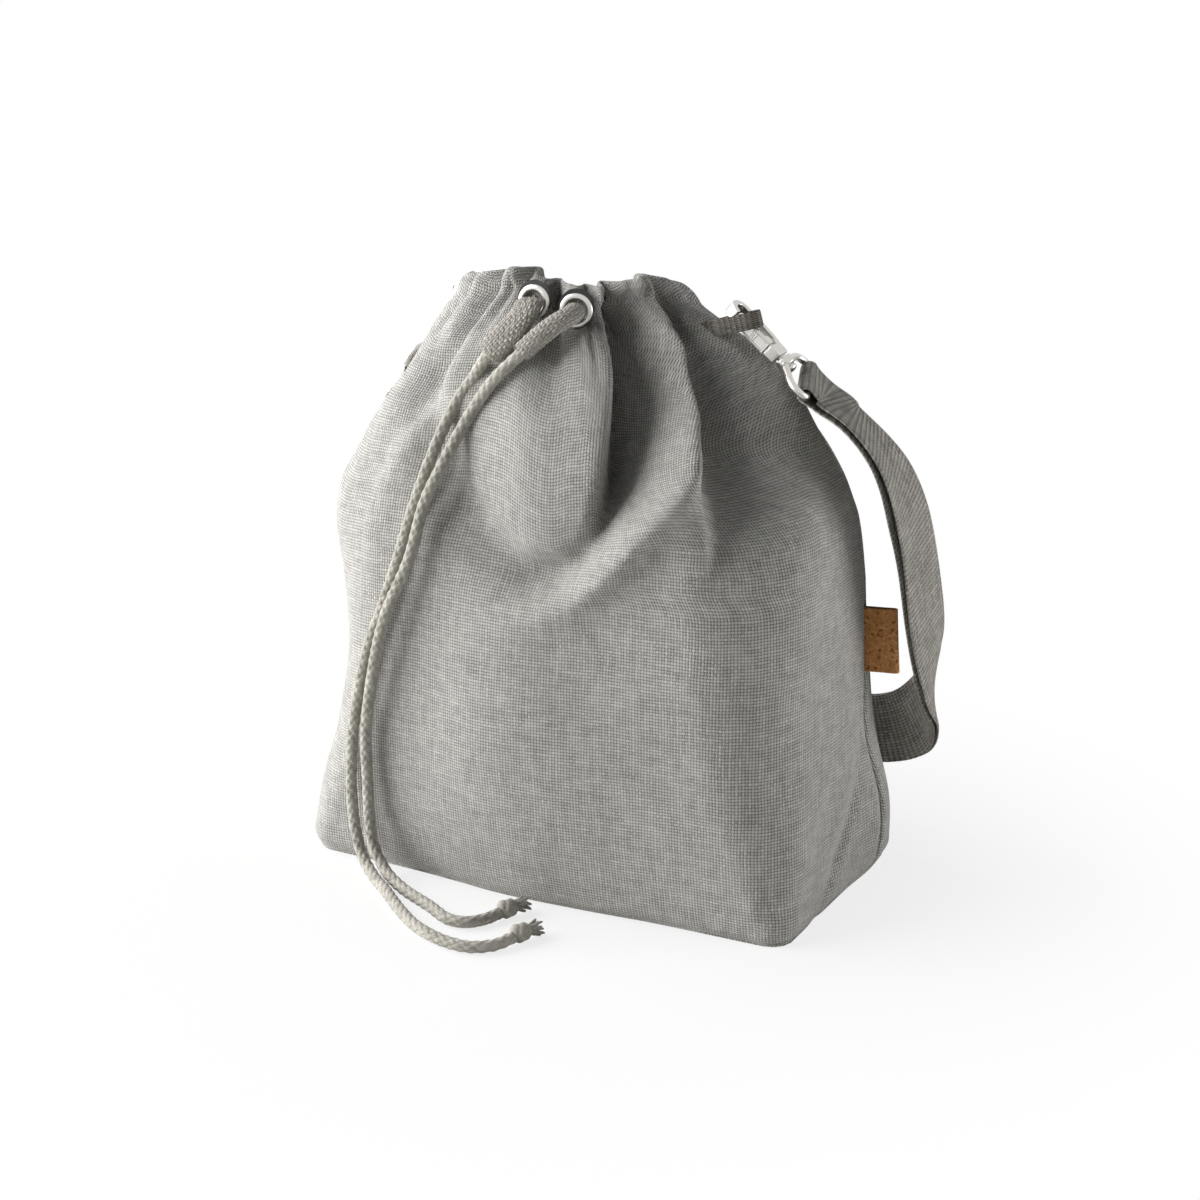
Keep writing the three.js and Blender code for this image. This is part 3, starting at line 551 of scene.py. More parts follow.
class Weave(Enum):
    """How the threads of a woven piece cross."""

    PLAIN = "plain"
    STITCH = "stitch"


class Finish:
    """What a piece is made of. A subclass dresses the shader."""

    name: str

    def material(self) -> bpy.types.Material:
        """Gives the material, made on first use.

        Returns:
            The material.
        """
        made = bpy.data.materials.get(self.name)
        if made is None:
            made = bpy.data.materials.new(self.name)
            tree = bare_tree(made)
            shader = add_node(tree, "BsdfPrincipled")
            add_node(tree, "OutputMaterial", {"Surface": shader})
            self.dress(tree, shader)
        return made

    def dress(self, tree: Tree, shader: Node) -> None:
        """Sets the shader up."""
        raise NotImplementedError


@dataclass(frozen=True)
class Woven(Finish):
    """Yarn crossing over and under, with shade painted into the hollows between the yarns, darkest at the
    pinholes where four threads meet.
    """

    name: str
    light: str  # the brightest yarn
    dark: str  # the dullest yarn
    gap: str  # painted shade, seen in the hollows between the yarns
    pitch: Pair  # mm between threads, across and along
    relief: float = 0.25  # mm from crown to gap
    wobble: float = 0.5  # threads by which the rows wander
    tone: float = 1.0  # contrast between one yarn and the next
    roughness: float = 0.92
    sheen: float = 0.15
    style: Weave = Weave.PLAIN
    gap_shade_height: float = 0.5  # height below which the gap's painted shade shows
    wandering: float = 45.0  # drifts of the rows to the metre
    crown: float = 0.6  # power of the yarn's section: under 1 is flatter than a sine
    slub: float = 0.28  # how much a thin stretch of yarn widens the painted shade of the gap beside it
    stretch: Triple = (0.73, 0.14, 1.0)  # tone by yarn, and slowly along it
    fibre: float = 3600.0  # fibres to the metre

    def dress(self, tree: Tree, shader: Node) -> None:
        """Draws the weave by its thread coordinates, lets each yarn vary in tone, and paints shade into the
        hollows between the yarns.

        Args:
            tree: The material's nodes.
            shader: Its principled shader.
        """
        place = add_node(tree, "UVMap", uv_map=UV_NAME)
        drift = add_node(tree, "TexNoise", {"Vector": place, "Scale": self.wandering, "Detail": 2.0})
        lean = add_node(tree, "VectorMath", {0: drift.outputs["Color"], 1: (self.wobble,) * 3},
                        operation="MULTIPLY")
        count = (1 / (self.pitch[0] * MM), 1 / (self.pitch[1] * MM), 0.0)
        thread = add_node(tree, "VectorMath", {0: place, 1: count, 2: lean}, operation="MULTIPLY_ADD")
        split = add_node(tree, "SeparateXYZ", {0: thread})
        a, b = split.outputs[0], split.outputs[1]
        if self.style is Weave.STITCH:
            row = add_node(tree, "Math", {0: a}, operation="FLOOR")
            odd = add_node(tree, "Math", {0: row, 1: 0.5}, operation="MULTIPLY")
            slant = add_node(tree, "Math", {0: a, 1: 2.0}, operation="PINGPONG")
            shift = add_node(tree, "Math", {0: slant, 1: 0.42, 2: odd}, operation="MULTIPLY_ADD")
            b = add_node(tree, "Math", {0: b, 1: shift}, operation="ADD").outputs[0]
        waves = []
        for axis in (a, b):
            turn = add_node(tree, "Math", {0: axis, 1: math.pi}, operation="MULTIPLY")
            waves.append(add_node(tree, "Math", {0: turn}, operation="SINE"))
        crowns = []
        for wave in waves:
            size = add_node(tree, "Math", {0: wave}, operation="ABSOLUTE")
            crowns.append(add_node(tree, "Math", {0: size, 1: self.crown}, operation="POWER"))
        if self.style is Weave.STITCH:
            height = add_node(tree, "Math", {0: crowns[0], 1: crowns[1]}, operation="MULTIPLY")
            front = height
        else:
            over = add_node(tree, "Math", {0: waves[0], 1: waves[1]}, operation="MULTIPLY")
            rise = add_node(tree, "Math", {0: over, 1: 0.5, 2: 0.5}, operation="MULTIPLY_ADD")
            fall = add_node(tree, "Math", {0: over, 1: -0.5, 2: 0.5}, operation="MULTIPLY_ADD")
            warp = add_node(tree, "Math", {0: crowns[0], 1: rise}, operation="MULTIPLY")
            weft = add_node(tree, "Math", {0: crowns[1], 1: fall}, operation="MULTIPLY")
            height = add_node(tree, "Math", {0: warp, 1: weft}, operation="MAXIMUM")
            front = add_node(tree, "Math", {0: warp, 1: weft}, operation="GREATER_THAN")
        tones = []
        for own, other in ((a, b), (b, a)):
            number = add_node(tree, "Math", {0: own}, operation="FLOOR")
            spot = add_node(tree, "CombineXYZ", {0: number, 1: other, 2: 3.7})
            squeezed = add_node(tree, "VectorMath", {0: spot, 1: self.stretch}, operation="MULTIPLY")
            noise = add_node(tree, "TexNoise", {"Vector": squeezed, "Scale": 1.0, "Detail": 2.0})
            tones.append(noise.outputs[0])
        tone = add_node(tree, "Mix", {0: front, 2: tones[1], 3: tones[0]})
        reach = 0.22 / self.tone
        spread = add_node(tree, "MapRange", {0: tone, 1: 0.5 - reach, 2: 0.5 + reach})
        fibre = add_node(tree, "TexNoise", {"Vector": place, "Scale": self.fibre, "Detail": 1.0})
        mixed = add_node(tree, "Math", {0: fibre, 1: 0.3, 2: spread}, operation="MULTIPLY_ADD")
        shade = add_node(tree, "Math", {0: mixed, 1: 0.15}, operation="SUBTRACT", use_clamp=True)
        yarn = add_node(tree, "Mix", {0: shade, 6: linear(self.dark), 7: linear(self.light)},
                        data_type="RGBA")
        # Painted shade: where the yarns lie low, the colour turns to the dark gap colour
        filled = add_node(tree, "Math", {0: tone, 1: self.slub, 2: height}, operation="MULTIPLY_ADD")
        shut = self.slub / 2
        closed = add_node(tree, "MapRange", {0: filled, 1: shut, 2: self.gap_shade_height + shut},
                          interpolation_type="SMOOTHSTEP")
        colour = add_node(tree, "Mix", {0: closed, 6: linear(self.gap), 7: yarn.outputs[2]},
                          data_type="RGBA")
        lifted = add_node(tree, "Math", {0: tone, 1: 0.25, 2: height}, operation="MULTIPLY_ADD")
        bump = add_node(tree, "Bump", {"Strength": 0.85, "Distance": self.relief * MM, "Height": lifted})
        feed(tree, shader, {"Base Color": colour.outputs[2], "Normal": bump, "Roughness": self.roughness,
                            "Specular IOR Level": 0.3, "Sheen Weight": self.sheen, "Sheen Roughness": 0.5})


@dataclass(frozen=True)
class Metal(Finish):
    """Plated zinc or steel, tumbled to a satin."""

    name: str
    colour: str
    roughness: float = 0.3
    grain: float = 0.35  # mm across a mark of the tumbling, drawn coarse enough to show
    clouds: float = 260.0  # duller patches to the metre
    depth: float = 0.02  # mm, of a mark

    def dress(self, tree: Tree, shader: Node) -> None:
        """Makes a soft reflection that varies over the piece.

        Args:
            tree: The material's nodes.
            shader: Its principled shader.
        """
        place = add_node(tree, "NewGeometry").outputs["Position"]
        scale = 1 / (self.grain * MM)
        marks = add_node(tree, "TexNoise", {"Vector": place, "Scale": scale, "Detail": 3.0})
        cloud = add_node(tree, "TexNoise", {"Vector": place, "Scale": self.clouds, "Detail": 2.0})
        blend = add_node(tree, "Math", {0: marks, 1: 0.5, 2: cloud}, operation="MULTIPLY_ADD")
        smoothest, dullest = self.roughness - 0.06, self.roughness + 0.1
        rough = add_node(tree, "MapRange", {0: blend, 1: 0.5, 2: 1.0, 3: smoothest, 4: dullest})
        bump = add_node(tree, "Bump", {"Strength": 0.25, "Distance": self.depth * MM, "Height": marks})
        feed(tree, shader, {"Roughness": rough, "Normal": bump, "Base Color": linear(self.colour),
                            "Metallic": 1.0})


@dataclass(frozen=True)
class Cork(Finish):
    """Agglomerated cork sheet: pressed granules with dark bark between them."""

    name: str
    pale: str
    deep: str
    bark: str
    granule: float = 1.3  # mm
    joint: float = 0.12  # mm deep between two granules
    nudge: float = 0.9  # mm by which a granule strays from a straight edge

    def dress(self, tree: Tree, shader: Node) -> None:
        """Colours each granule by itself and sinks the joints.

        Args:
            tree: The material's nodes.
            shader: Its principled shader.
        """
        place = add_node(tree, "NewGeometry").outputs["Position"]
        scale = 1 / (self.granule * MM)
        warp = add_node(tree, "TexNoise", {"Vector": place, "Scale": scale * 0.8, "Detail": 2.0})
        nudged = add_node(tree, "VectorMath",
                          {0: warp.outputs["Color"], 1: (self.nudge * MM,) * 3, 2: place},
                          operation="MULTIPLY_ADD")
        cells = add_node(tree, "TexVoronoi", {"Vector": nudged, "Scale": scale})
        edges = add_node(tree, "TexVoronoi", {"Vector": nudged, "Scale": scale}, feature="DISTANCE_TO_EDGE")
        pick = add_node(tree, "SeparateColor", {0: cells.outputs["Color"]})
        body = add_node(tree, "Mix", {0: pick.outputs[0], 6: linear(self.deep), 7: linear(self.pale)},
                        data_type="RGBA")
        joint = add_node(tree, "MapRange", {0: edges.outputs["Distance"], 1: 0.0, 2: 0.1, 3: 0.75, 4: 0.0})
        fleck = add_node(tree, "MapRange", {0: pick.outputs[1], 1: 0.86, 2: 0.9})
        seen = add_node(tree, "Math", {0: joint, 1: fleck}, operation="MAXIMUM")
        colour = add_node(tree, "Mix", {0: seen, 6: body.outputs[2], 7: linear(self.bark)},
                          data_type="RGBA")
        bump = add_node(tree, "Bump", {"Strength": 0.6, "Distance": self.joint * MM,
                                       "Height": edges.outputs["Distance"]})
        feed(tree, shader, {"Base Color": colour.outputs[2], "Normal": bump, "Roughness": 0.78,
                            "Specular IOR Level": 0.35})


@dataclass(frozen=True)
class Cellular(Finish):
    """Closed-cell foam or a dense felted strip: an even skin of fine cells."""

    name: str
    colour: str
    shadow: str
    cell: float  # mm
    roughness: float = 0.9
    pit: float = 0.1  # mm deep

    def dress(self, tree: Tree, shader: Node) -> None:
        """Draws the cells as shallow pits.

        Args:
            tree: The material's nodes.
            shader: Its principled shader.
        """
        place = add_node(tree, "NewGeometry").outputs["Position"]
        pits = add_node(tree, "TexVoronoi", {"Vector": place, "Scale": 1 / (self.cell * MM)})
        depth = add_node(tree, "MapRange", {0: pits.outputs["Distance"], 1: 0.1, 2: 0.8})
        colour = add_node(tree, "Mix", {0: depth, 6: linear(self.colour), 7: linear(self.shadow)},
                          data_type="RGBA")
        bump = add_node(tree, "Bump", {"Strength": 0.5, "Distance": self.pit * MM,
                                       "Height": pits.outputs["Distance"]})
        feed(tree, shader, {"Base Color": colour.outputs[2], "Normal": bump, "Roughness": self.roughness})


# Linen and cotton canvas, slubby and undyed: pale yarn with painted shade in its pinholes, quite matt
LINEN = Woven("linen_canvas", "cfcdc8", "a5a39e", "1e1d1b", (1.22, 1.22), relief=0.4, wobble=1.0,
              tone=0.7, gap_shade_height=0.74)
# Polyamide taffeta, dyed dark: a fine, faintly shining grid
TAFFETA = Woven("lining_taffeta", "54555a", "3c3d41", "1d1d20", (0.7, 0.7), relief=0.08, wobble=0.3,
                roughness=0.55, sheen=0.3)
# Cotton braid in a diamond pattern: soft fat strands, beige grey
BRAID = Woven("cotton_braid", "b8b5ac", "918d84", "45413a", (2.1, 2.1), relief=0.35, wobble=0.25,
              gap_shade_height=0.28)
# Frayed cotton ends: the same yarn, loose
YARN = Woven("cotton_yarn", "b9b6ad", "938f86", "645e54", (0.55, 0.55), relief=0.1, wobble=0.4)
# Cotton tape knitted in rows of small slanted stitches
KNIT = Woven("knitted_cotton_tape", "bebab1", "96928a", "4f4b44", (1.15, 1.9), relief=0.3, wobble=0.15,
             style=Weave.STITCH, gap_shade_height=0.45)
# Flat cotton tape inside the channel
TAPE = Woven("cotton_tape", "c8bda6", "ac9f88", "6b604f", (0.9, 0.9), relief=0.12, wobble=0.2)
# Cotton webbing with crosswise ribs: grey beige, firm and matt
WEBBING = Woven("cotton_webbing", "bfbbb3", "8f8b82", "211f1b", (1.25, 2.3), relief=0.6, wobble=0.2,
                gap_shade_height=0.75)
# Ribbed polyester tape of the tabs, dyed dark grey brown
GROSGRAIN = Woven("grosgrain_tape", "8a857c", "625e57", "1b1917", (0.8, 2.2), relief=0.6,
                  wobble=0.05, gap_shade_height=0.7)
# Sewing thread, two plies twisted
THREAD = Woven("sewing_thread", "d0ccc3", "b0aca2", "77736a", (0.35, 0.35), relief=0.05, wobble=0.1)
# Zinc castings and steel wire, nickel plated and tumbled: a warm, soft mirror
NICKEL = Metal("satin_nickel", "c8c6c1")
# Cork granules pressed into a sheet and sliced: warm brown, matt and flecked
CORK = Cork("pressed_cork", "dfa568", "c08248", "8f5a2c")
# Closed-cell foam, skived: off white, with an even fine grain
FOAM = Cellular("polyethylene_foam", "e6e4de", "c4c1b9", 0.8)
# Vulcanised fibre, punched: nearly black, hardly shining
WASHER = Cellular("black_fibre_washer", "161616", "0a0a0a", 0.3, roughness=0.6)


# The studio


@dataclass(frozen=True)
class SoftBox:
    """A square soft box aimed at the middle of the bag."""

    name: str
    place: Triple  # m
    power: float  # W
    size: float  # m
    aim: Triple = (0.0, 0.0, 0.11)

    def hang(self) -> None:
        """Hangs the lamp, out of the camera's sight."""
        data = bpy.data.lights.new(self.name, "AREA")
        data.energy = self.power
        data.size = self.size
        lamp = add_object(self.name, data)
        lamp.location = self.place
        way = Vector(self.aim) - Vector(self.place)
        lamp.rotation_euler = way.to_track_quat("-Z", "Y").to_euler()
        lamp.visible_camera = False


@dataclass
class Studio:
    """Camera, lamps and a pale floor that fades into a white surround."""

    azimuth: float = 27.81  # degrees to the right of the front
    elevation: float = 16.84
    eye: Triple = (400.8, -761.8, 370.4)
    focal: float = 66.0
    sensor: float = 36.0
    sight: Pair = (0.02, 30.0)  # m, nearest and furthest
    floor_size: float = 6000.0
    floor_colour: str = "f1f1f0"
    shadow_ends: Pair = (0.05, 0.3)  # m from the middle, where the floor fades
    nearest_white: float = 0.75  # share of plain white in the floor at the bag
    daylight: float = 0.015  # the surround's strength as a light
    lamps: tuple[SoftBox, ...] = (
        SoftBox("key_lamp", (-1.65, -0.6, 0.7), 122.0, 2.4),
        SoftBox("fill_lamp", (0.8, 0.3, 0.22), 4.0, 0.5),
    )

    def camera(self) -> None:
        """Stands the camera where the picture was taken from."""
        data = bpy.data.cameras.new("camera")
        data.lens = self.focal
        data.sensor_width = self.sensor
        data.clip_start, data.clip_end = self.sight
        camera = add_object("camera", data)
        a, e = math.radians(self.azimuth), math.radians(self.elevation)
        back = Vector((math.sin(a) * math.cos(e), -math.cos(a) * math.cos(e), math.sin(e)))
        camera.location = Vector(self.eye) * MM
        camera.rotation_euler = (-back).to_track_quat("-Z", "Y").to_euler()
        bpy.context.scene.camera = camera

    def surround(self) -> None:
        """Makes the world white to look at and dimmer as a light."""
        world = bpy.data.worlds.new("surround")
        bpy.context.scene.world = world
        tree = bare_tree(world)
        rays = add_node(tree, "LightPath")
        seen = rays.outputs["Is Camera Ray"]
        for other in ("Is Glossy Ray", "Is Transmission Ray"):
            seen = add_node(tree, "Math", {0: seen, 1: rays.outputs[other]}, operation="MAXIMUM")
        level = add_node(tree, "MapRange", {0: seen, 3: self.daylight, 4: 1.0})
        sky = add_node(tree, "Background", {"Color": (1, 1, 1, 1), "Strength": level})
        add_node(tree, "OutputWorld", {"Surface": sky})

    def floor(self) -> None:
        """Lays a floor that takes shadows near the bag and is white further off."""
        half = self.floor_size / 2 * MM
        corners = [(x, y, 0) for y in (-half, half) for x in (-half, half)]
        material = bpy.data.materials.new("studio_paper")
        tree = bare_tree(material)
        place = add_node(tree, "NewGeometry").outputs["Position"]
        far = add_node(tree, "VectorMath", {0: place}, operation="LENGTH").outputs["Value"]
        near, out = self.shadow_ends
        fade = add_node(tree, "MapRange", {0: far, 1: near, 2: out, 3: self.nearest_white, 4: 1.0},
                        interpolation_type="SMOOTHSTEP")
        rays = add_node(tree, "LightPath")
        seen = add_node(tree, "Math", {0: rays.outputs["Is Camera Ray"], 1: fade}, operation="MULTIPLY")
        paper = add_node(tree, "BsdfDiffuse", {"Color": linear(self.floor_colour)})
        glow = add_node(tree, "Emission", {"Color": (1, 1, 1, 1), "Strength": 1.0})
        both = add_node(tree, "MixShader", {0: seen, 1: paper, 2: glow})
        add_node(tree, "OutputMaterial", {"Surface": both})
        mesh = bpy.data.meshes.new("floor")
        mesh.from_pydata(corners, [], [(0, 1, 3, 2)])
        mesh.materials.append(material)
        add_object("floor", mesh)

    def build(self) -> None:
        """Sets up the whole studio."""
        bpy.context.scene.view_settings.view_transform = "Standard"
        self.camera()
        for lamp in self.lamps:
            lamp.hang()
        self.surround()
        self.floor()
        log.info("made the studio")


# The shape of the bag


@dataclass
class DrawnCloth:
    """The outside of the cloth as the drawstring shapes it: u round the bag, z up the cloth."""

    top: float = 246.0  # height of the cloth before its rim is shaped
    girth: float = 660.0  # cloth round the body
    crown: float = 4.0  # how far the wide faces belly out
    half_face: float = 107.0  # half width over which they do
    neck: tuple[float, float, float, float] = (-11.0, -9.0, 46.0, 28.0)  # middle x and y, half sizes
    neck_from: float = 150.0  # height from which the cloth is drawn up to its rim
    gathered: float = 0.58  # share of its width that the cloth loses in the neck
    twist: Triple = (14.0, 0.78, 0.16)  # degrees, column and spread in turns
    ridges: tuple[float, ...] = (12, 40, 70, 101, 131, 160, 187, 212, 242, 274, 306, 323, 343)
    pleat_top: float = 240.0
    pleat_foot: Pair = (4.2, 2.7)  # mm down per degree of pleat, and less in front
    pleat_depth: Triple = (0.34, 3.0, 9.0)  # mm per degree, least and most
    pleat_width: float = 0.24
    rim_roll: Pair = (6.0, 3.5)  # height and reach of the rolled rim
    rim_fold: float = 3.2  # cloth in the bend of the rim
    rim_drop: float = 2.0
    round_over: float = 4.5  # how far the shoulders of the neck roll inwards
    eyelet_flat: Pair = (7.6, 10.5)  # flat cloth round an eyelet, and where it ends
    # Degrees round the neck, height and outward direction of the two eyelets
    eyelet_seats: tuple[tuple, ...] = ((274, 237, (0.04, -0.995, 0.09)), (306, 234.5, (0.22, -0.97, 0.09)))
    seam_lean: Triple = (0.049, 0.004, 0.11)  # turns at the base, more above, reach
    # Folds: cloth column from the middle of the front, height, outward reach, and the half width on
    # its left and, where that differs, on its right
    folds: tuple[Knots, ...] = (
        ((89, 246, -8, 3, 9), (75, 228, -17, 3.5, 14), (64, 212, -22, 4, 17), (56, 198, -24, 4.5, 17),
         (49, 184, -23, 4.5, 15), (44, 171, -17, 5, 11), (40, 160, -9, 6, 8), (38, 152, -2, 6, 7)),
        ((112, 232, -3, 8), (108, 221, -12, 11, 8), (100, 209, -20, 13, 8), (90, 198, -21, 13, 8),
         (75, 186, -16, 11, 8), (60, 174, -6, 9, 7), (51, 167, -1, 8, 6)),
        ((60, 240, 1, 8, 6), (53, 218, 3, 16, 6), (43, 200, 4, 18, 7), (37, 184, 4, 18, 7),
         (34, 170, 2, 14, 7)),
        ((140, 234, 3, 5), (121, 218, 7, 6), (108, 206, 11, 6.5), (96, 196, 13, 7), (83, 185, 12, 8),
         (68, 172, 10, 9), (54, 159, 10, 9), (43, 149, 10, 9), (29, 137, 8, 9), (12, 126, 4, 10),
         (-4, 118, 1, 11)),
        ((160, 242, -6, 4, 7), (140, 226, -14, 5, 13), (125, 212, -20, 6, 22), (115, 200, -24, 6, 27),
         (106, 188, -22, 7, 28), (100, 176, -16, 8, 26), (95, 166, -7, 9, 22), (93, 158, -1, 10, 16)),
        ((-14, 126, 1, 26, 40), (-15, 100, 5, 30, 45), (-17, 60, 7, 32, 50), (-20, 22, 4, 32, 50),
         (-20, 4, 1, 30, 50)),
        ((112, 238, -3, 3), (101, 228, -4, 4), (90, 216, -2, 5)),
        ((128, 240, -3, 3), (118, 230, -4, 4), (112, 220, -1, 5)),
        ((-104, 240, -5, 4), (-96, 232, -6, 5), (-88, 222, -3, 6), (-82, 212, -1, 7)),
        ((-62, 240, -3, 4), (-60, 230, -3, 5), (-62, 218, -1, 6)),
        ((-112, 222, -3, 5), (-92, 206, -6, 8), (-72, 190, -7, 10), (-54, 176, -7, 12),
         (-40, 164, -6, 12), (-26, 153, -6, 12), (-12, 143, -7, 11), (2, 137, -10, 9), (16, 138, -12, 8),
         (28, 145, -11, 7), (38, 155, -4, 6)),
        ((-20, 226, 2, 16), (-6, 208, 5, 22), (2, 192, 6, 24), (4, 176, 4, 24), (4, 164, 1, 22)),
        ((178, 246, 5, 14), (174, 234, 14, 15), (170, 218, 15, 16), (164, 202, 11, 16),
         (158, 184, 3, 16)),
        ((122, 247, -3, 2.2), (120, 236, -3.2, 2.6), (116, 226, -1, 4)),
        ((136, 247, -3, 2.2), (133, 237, -3.4, 2.6), (128, 225, -1, 4)),
        ((150, 248, -2.6, 2), (148, 238, -3.2, 2.6), (144, 227, -1, 4)),
        ((163, 248, -3, 2.2), (162, 238, -3.2, 2.6), (160, 228, -1, 4)),
        ((177, 248, -2.6, 2), (177, 238, -3, 2.6), (178, 226, -1, 4)),
        ((196, 8, 1, 16), (200, 24, 4, 18), (204, 42, 1, 16)),
        ((196, 78, -1, 16), (200, 64, -2.5, 14), (204, 50, -1, 12)),
        ((188, 58, -1, 6, 4), (177, 40, -2.2, 7, 3.5), (163, 22, -3, 7, 3), (148, 9, -2, 6, 3),
         (141, 3, -1, 5, 3)),
        ((-168, 247, 3, 18), (-166, 232, 4, 18), (-162, 216, 1, 18)),
    )
    # Fine creases that a solid is too coarse for, written as the folds are
    creases: tuple[Knots, ...] = (
        ((49, 240, -1.6, 1.6), (47, 228, -1.4, 2.2), (44, 214, -0.5, 2.6)),
        ((88, 242, -1.8, 1.6), (82, 230, -1.6, 2.4), (74, 216, -0.6, 3.2)),
        ((98, 240, -1.6, 1.8), (95, 228, -1.5, 2.6), (86, 214, -0.5, 3.4)),
        ((112, 238, -1.4, 2), (108, 224, -1.2, 3), (98, 210, -0.3, 4)),
        ((-12, 236, -1.2, 2), (-14, 222, -1, 3), (-20, 206, -0.3, 4)),
        ((-60, 238, -1.4, 2), (-66, 226, -1.2, 3), (-76, 212, -0.4, 4)),
        ((-120, 20, -0.8, 5), (-70, 12, -0.7, 6), (-20, 16, -0.3, 6)),
        ((96, 6, -1.2, 3), (104, 16, -1.6, 4), (108, 34, -0.5, 6)),
    )

    def __post_init__(self) -> None:
        """Makes the curves of the bag's size by height, and of the rim by angle."""
        self.half_right = soft([[0, 106.5], [8, 109.5], [30, 109], [60, 106.5], [90, 104], [120, 103],
                                [150, 104], [170, 106], [250, 107]])
        self.half_left = soft([[0, 108], [8, 112], [30, 110], [60, 103.5], [90, 101], [120, 104],
                               [145, 110], [160, 111], [171, 108], [188, 105], [206, 101], [223, 97],
                               [250, 96]])
        self.half_depth = soft([[0, 55], [8, 57.5], [40, 60], [90, 60], [140, 59], [170, 57], [250, 54]])
        self.corner = soft([[0, 8], [8, 12], [40, 24], [90, 34], [140, 42], [170, 46], [250, 46]])
        self.closing = soft([[125, 0], [150, 0.02], [165, 0.08], [180, 0.18], [195, 0.33], [210, 0.52],
                             [222, 0.71], [232, 0.91], [238, 1], [250, 1]])
        self.rim = soft([[0, 246], [10, 243], [22, 239.5], [60, 236], [90, 234], [130, 236], [165, 240],
                         [190, 242.5], [212, 245], [235, 248], [250, 248.5], [266, 247], [285, 244.6],
                         [318, 243.5], [334, 244], [350, 246.5], [360, 246]])
        self.eyelets = []
        for degrees, height, out in self.eyelet_seats:
            x, y = self.neck_point(math.radians(degrees))
            self.eyelets.append((np.array([x, y - 0.6, height]), unit(np.array(out))))

    def neck_point(self, phi: Array) -> tuple[Array, Array]:
        """Gives a place on the ellipse of the drawn neck, by angle.

        Args:
            phi: Angles.

        Returns:
            Places across and in depth.
        """
        x, y, a, b = self.neck
        r = a * b / np.hypot(b * np.cos(phi), a * np.sin(phi))
        return x + r * np.cos(phi), y + r * np.sin(phi)

    def angle(self, u: Array) -> Array:
        """Gives the angle round the neck that a column of cloth is drawn to."""
        deg, at, width = self.twist
        return TAU * u + math.radians(deg) * np.exp(-((self.wrapped(u - at) / width) ** 2))

    @staticmethod
    def wrapped(u: Array) -> Array:
        """Brings turns into the range from -0.5 to 0.5."""
        return (u + 0.5) % 1.0 - 0.5

    @staticmethod
    def rounded(u: Array, b: Array, r: Array, a: float = 105.0) -> tuple[Array, Array]:
        """Walks round a rectangle with rounded corners.

        Args:
            u: Turns from the middle of the right side.
            b: Half its depth.
            r: Its corner radius.
            a: Half its width.

        Returns:
            The place across, as a share of the half width, and the place in depth.
        """
        turn = u - np.floor(u)
        quarter = np.floor(turn * 4) % 4
        f = turn * 4 - np.floor(turn * 4)
        side = b - r
        corner = r * np.pi / 2
        s = np.where(quarter % 2 == 1, 1 - f, f) * (side + corner + a - r)
        bend = np.clip((s - side) / r, 0, np.pi / 2)
        turning, past = s < side + corner, s - side - corner
        x = np.where(s < side, a, np.where(turning, a - r + r * np.cos(bend), a - r - past))
        y = np.where(s < side, s, np.where(turning, b - r + r * np.sin(bend), b))
        return np.where((quarter == 1) | (quarter == 2), -x, x) / a, np.where(quarter > 1, -y, y)

    def pleat(self, phi: Array, z: Array) -> Array:
        """Gives how far the cloth is drawn in between the ridges round the neck.

        Args:
            phi: Angles round the neck.
            z: Cloth heights.

        Returns:
            Depths in millimetres.
        """
        deg = np.degrees(phi) % 360
        ends = np.array([self.ridges[-1] - 360, *self.ridges, self.ridges[0] + 360], float)
        i = np.clip(np.searchsorted(ends, deg, side="left") - 1, 0, len(ends) - 2)
        span = ends[i + 1] - ends[i]
        in_front = smooth(deg, 225, 245) * (1 - smooth(deg, 338, 350))
        share, least, most = self.pleat_depth
        start = self.pleat_top - (self.pleat_foot[0] - self.pleat_foot[1] * in_front) * span
        grown = np.clip((z - start) / (self.pleat_top - start), 0, 1) ** 1.5
        aside = ((deg - ends[i]) / span - 0.5) / self.pleat_width
        return np.clip(span * share, least, most) * grown * np.exp(-(aside**2))

    @staticmethod
    def strokes(lines: Sequence[Knots], s: Array, z: Array, shrink: Array) -> Array:
        """Adds up folds drawn as lines on the cloth.

        Args:
            lines: Each a list of column, height, reach and half widths.
            s: Cloth columns in millimetres from the middle of the front.
            z: Cloth heights.
            shrink: How much narrower the cloth is drawn there.

        Returns:
            Outward reach in millimetres.
        """
        reach = np.zeros_like(z)
        for line in lines:
            knots = np.array([[*knot[:4], knot[-1]] for knot in line], float)
            steps = np.linspace(0, len(knots) - 1, 4 * len(knots) - 3)
            run = np.stack([soft(list(enumerate(column)))(steps) for column in knots.T], 1)
            way = unit(np.gradient(run[:, :2], axis=0))
            # The dabs along one line are blended by a high norm, so that they overlap without adding up
            total = np.zeros_like(z)
            for (s0, z0, size, left, right), (ws, wz) in zip(run, way):
                dx, dz = (s - s0) * shrink, z - z0
                aside = (ws * dz - wz * dx) / (left + right)
                width = left + (right - left) * smooth(aside, -0.2, 0.2)
                total += (abs(size) * np.exp(-(dx * dx + dz * dz) / (width * width))) ** 6
            reach += math.copysign(0.88, knots[:, 2].sum()) * total ** (1 / 6)
        return reach

    @staticmethod
    def puckers(phi: Array, z: Array) -> Array:
        """Gathers the channel's cloth into irregular puckers, most of them on the right.

        Args:
            phi: Angles round the neck.
            z: Cloth heights.

        Returns:
            Outward reach in millimetres.
        """
        right = np.cos((phi - math.radians(-15)) / 2) ** 4
        left = 0.35 * np.cos((phi - math.radians(160)) / 2) ** 8
        wave = np.sin(34 * phi + 1.7 * np.sin(5 * phi)) + 0.6 * np.sin(53 * phi + 2.1 * np.sin(7 * phi + 1))
        return 0.75 * (right + left) * wave * smooth(z, 206, 238)

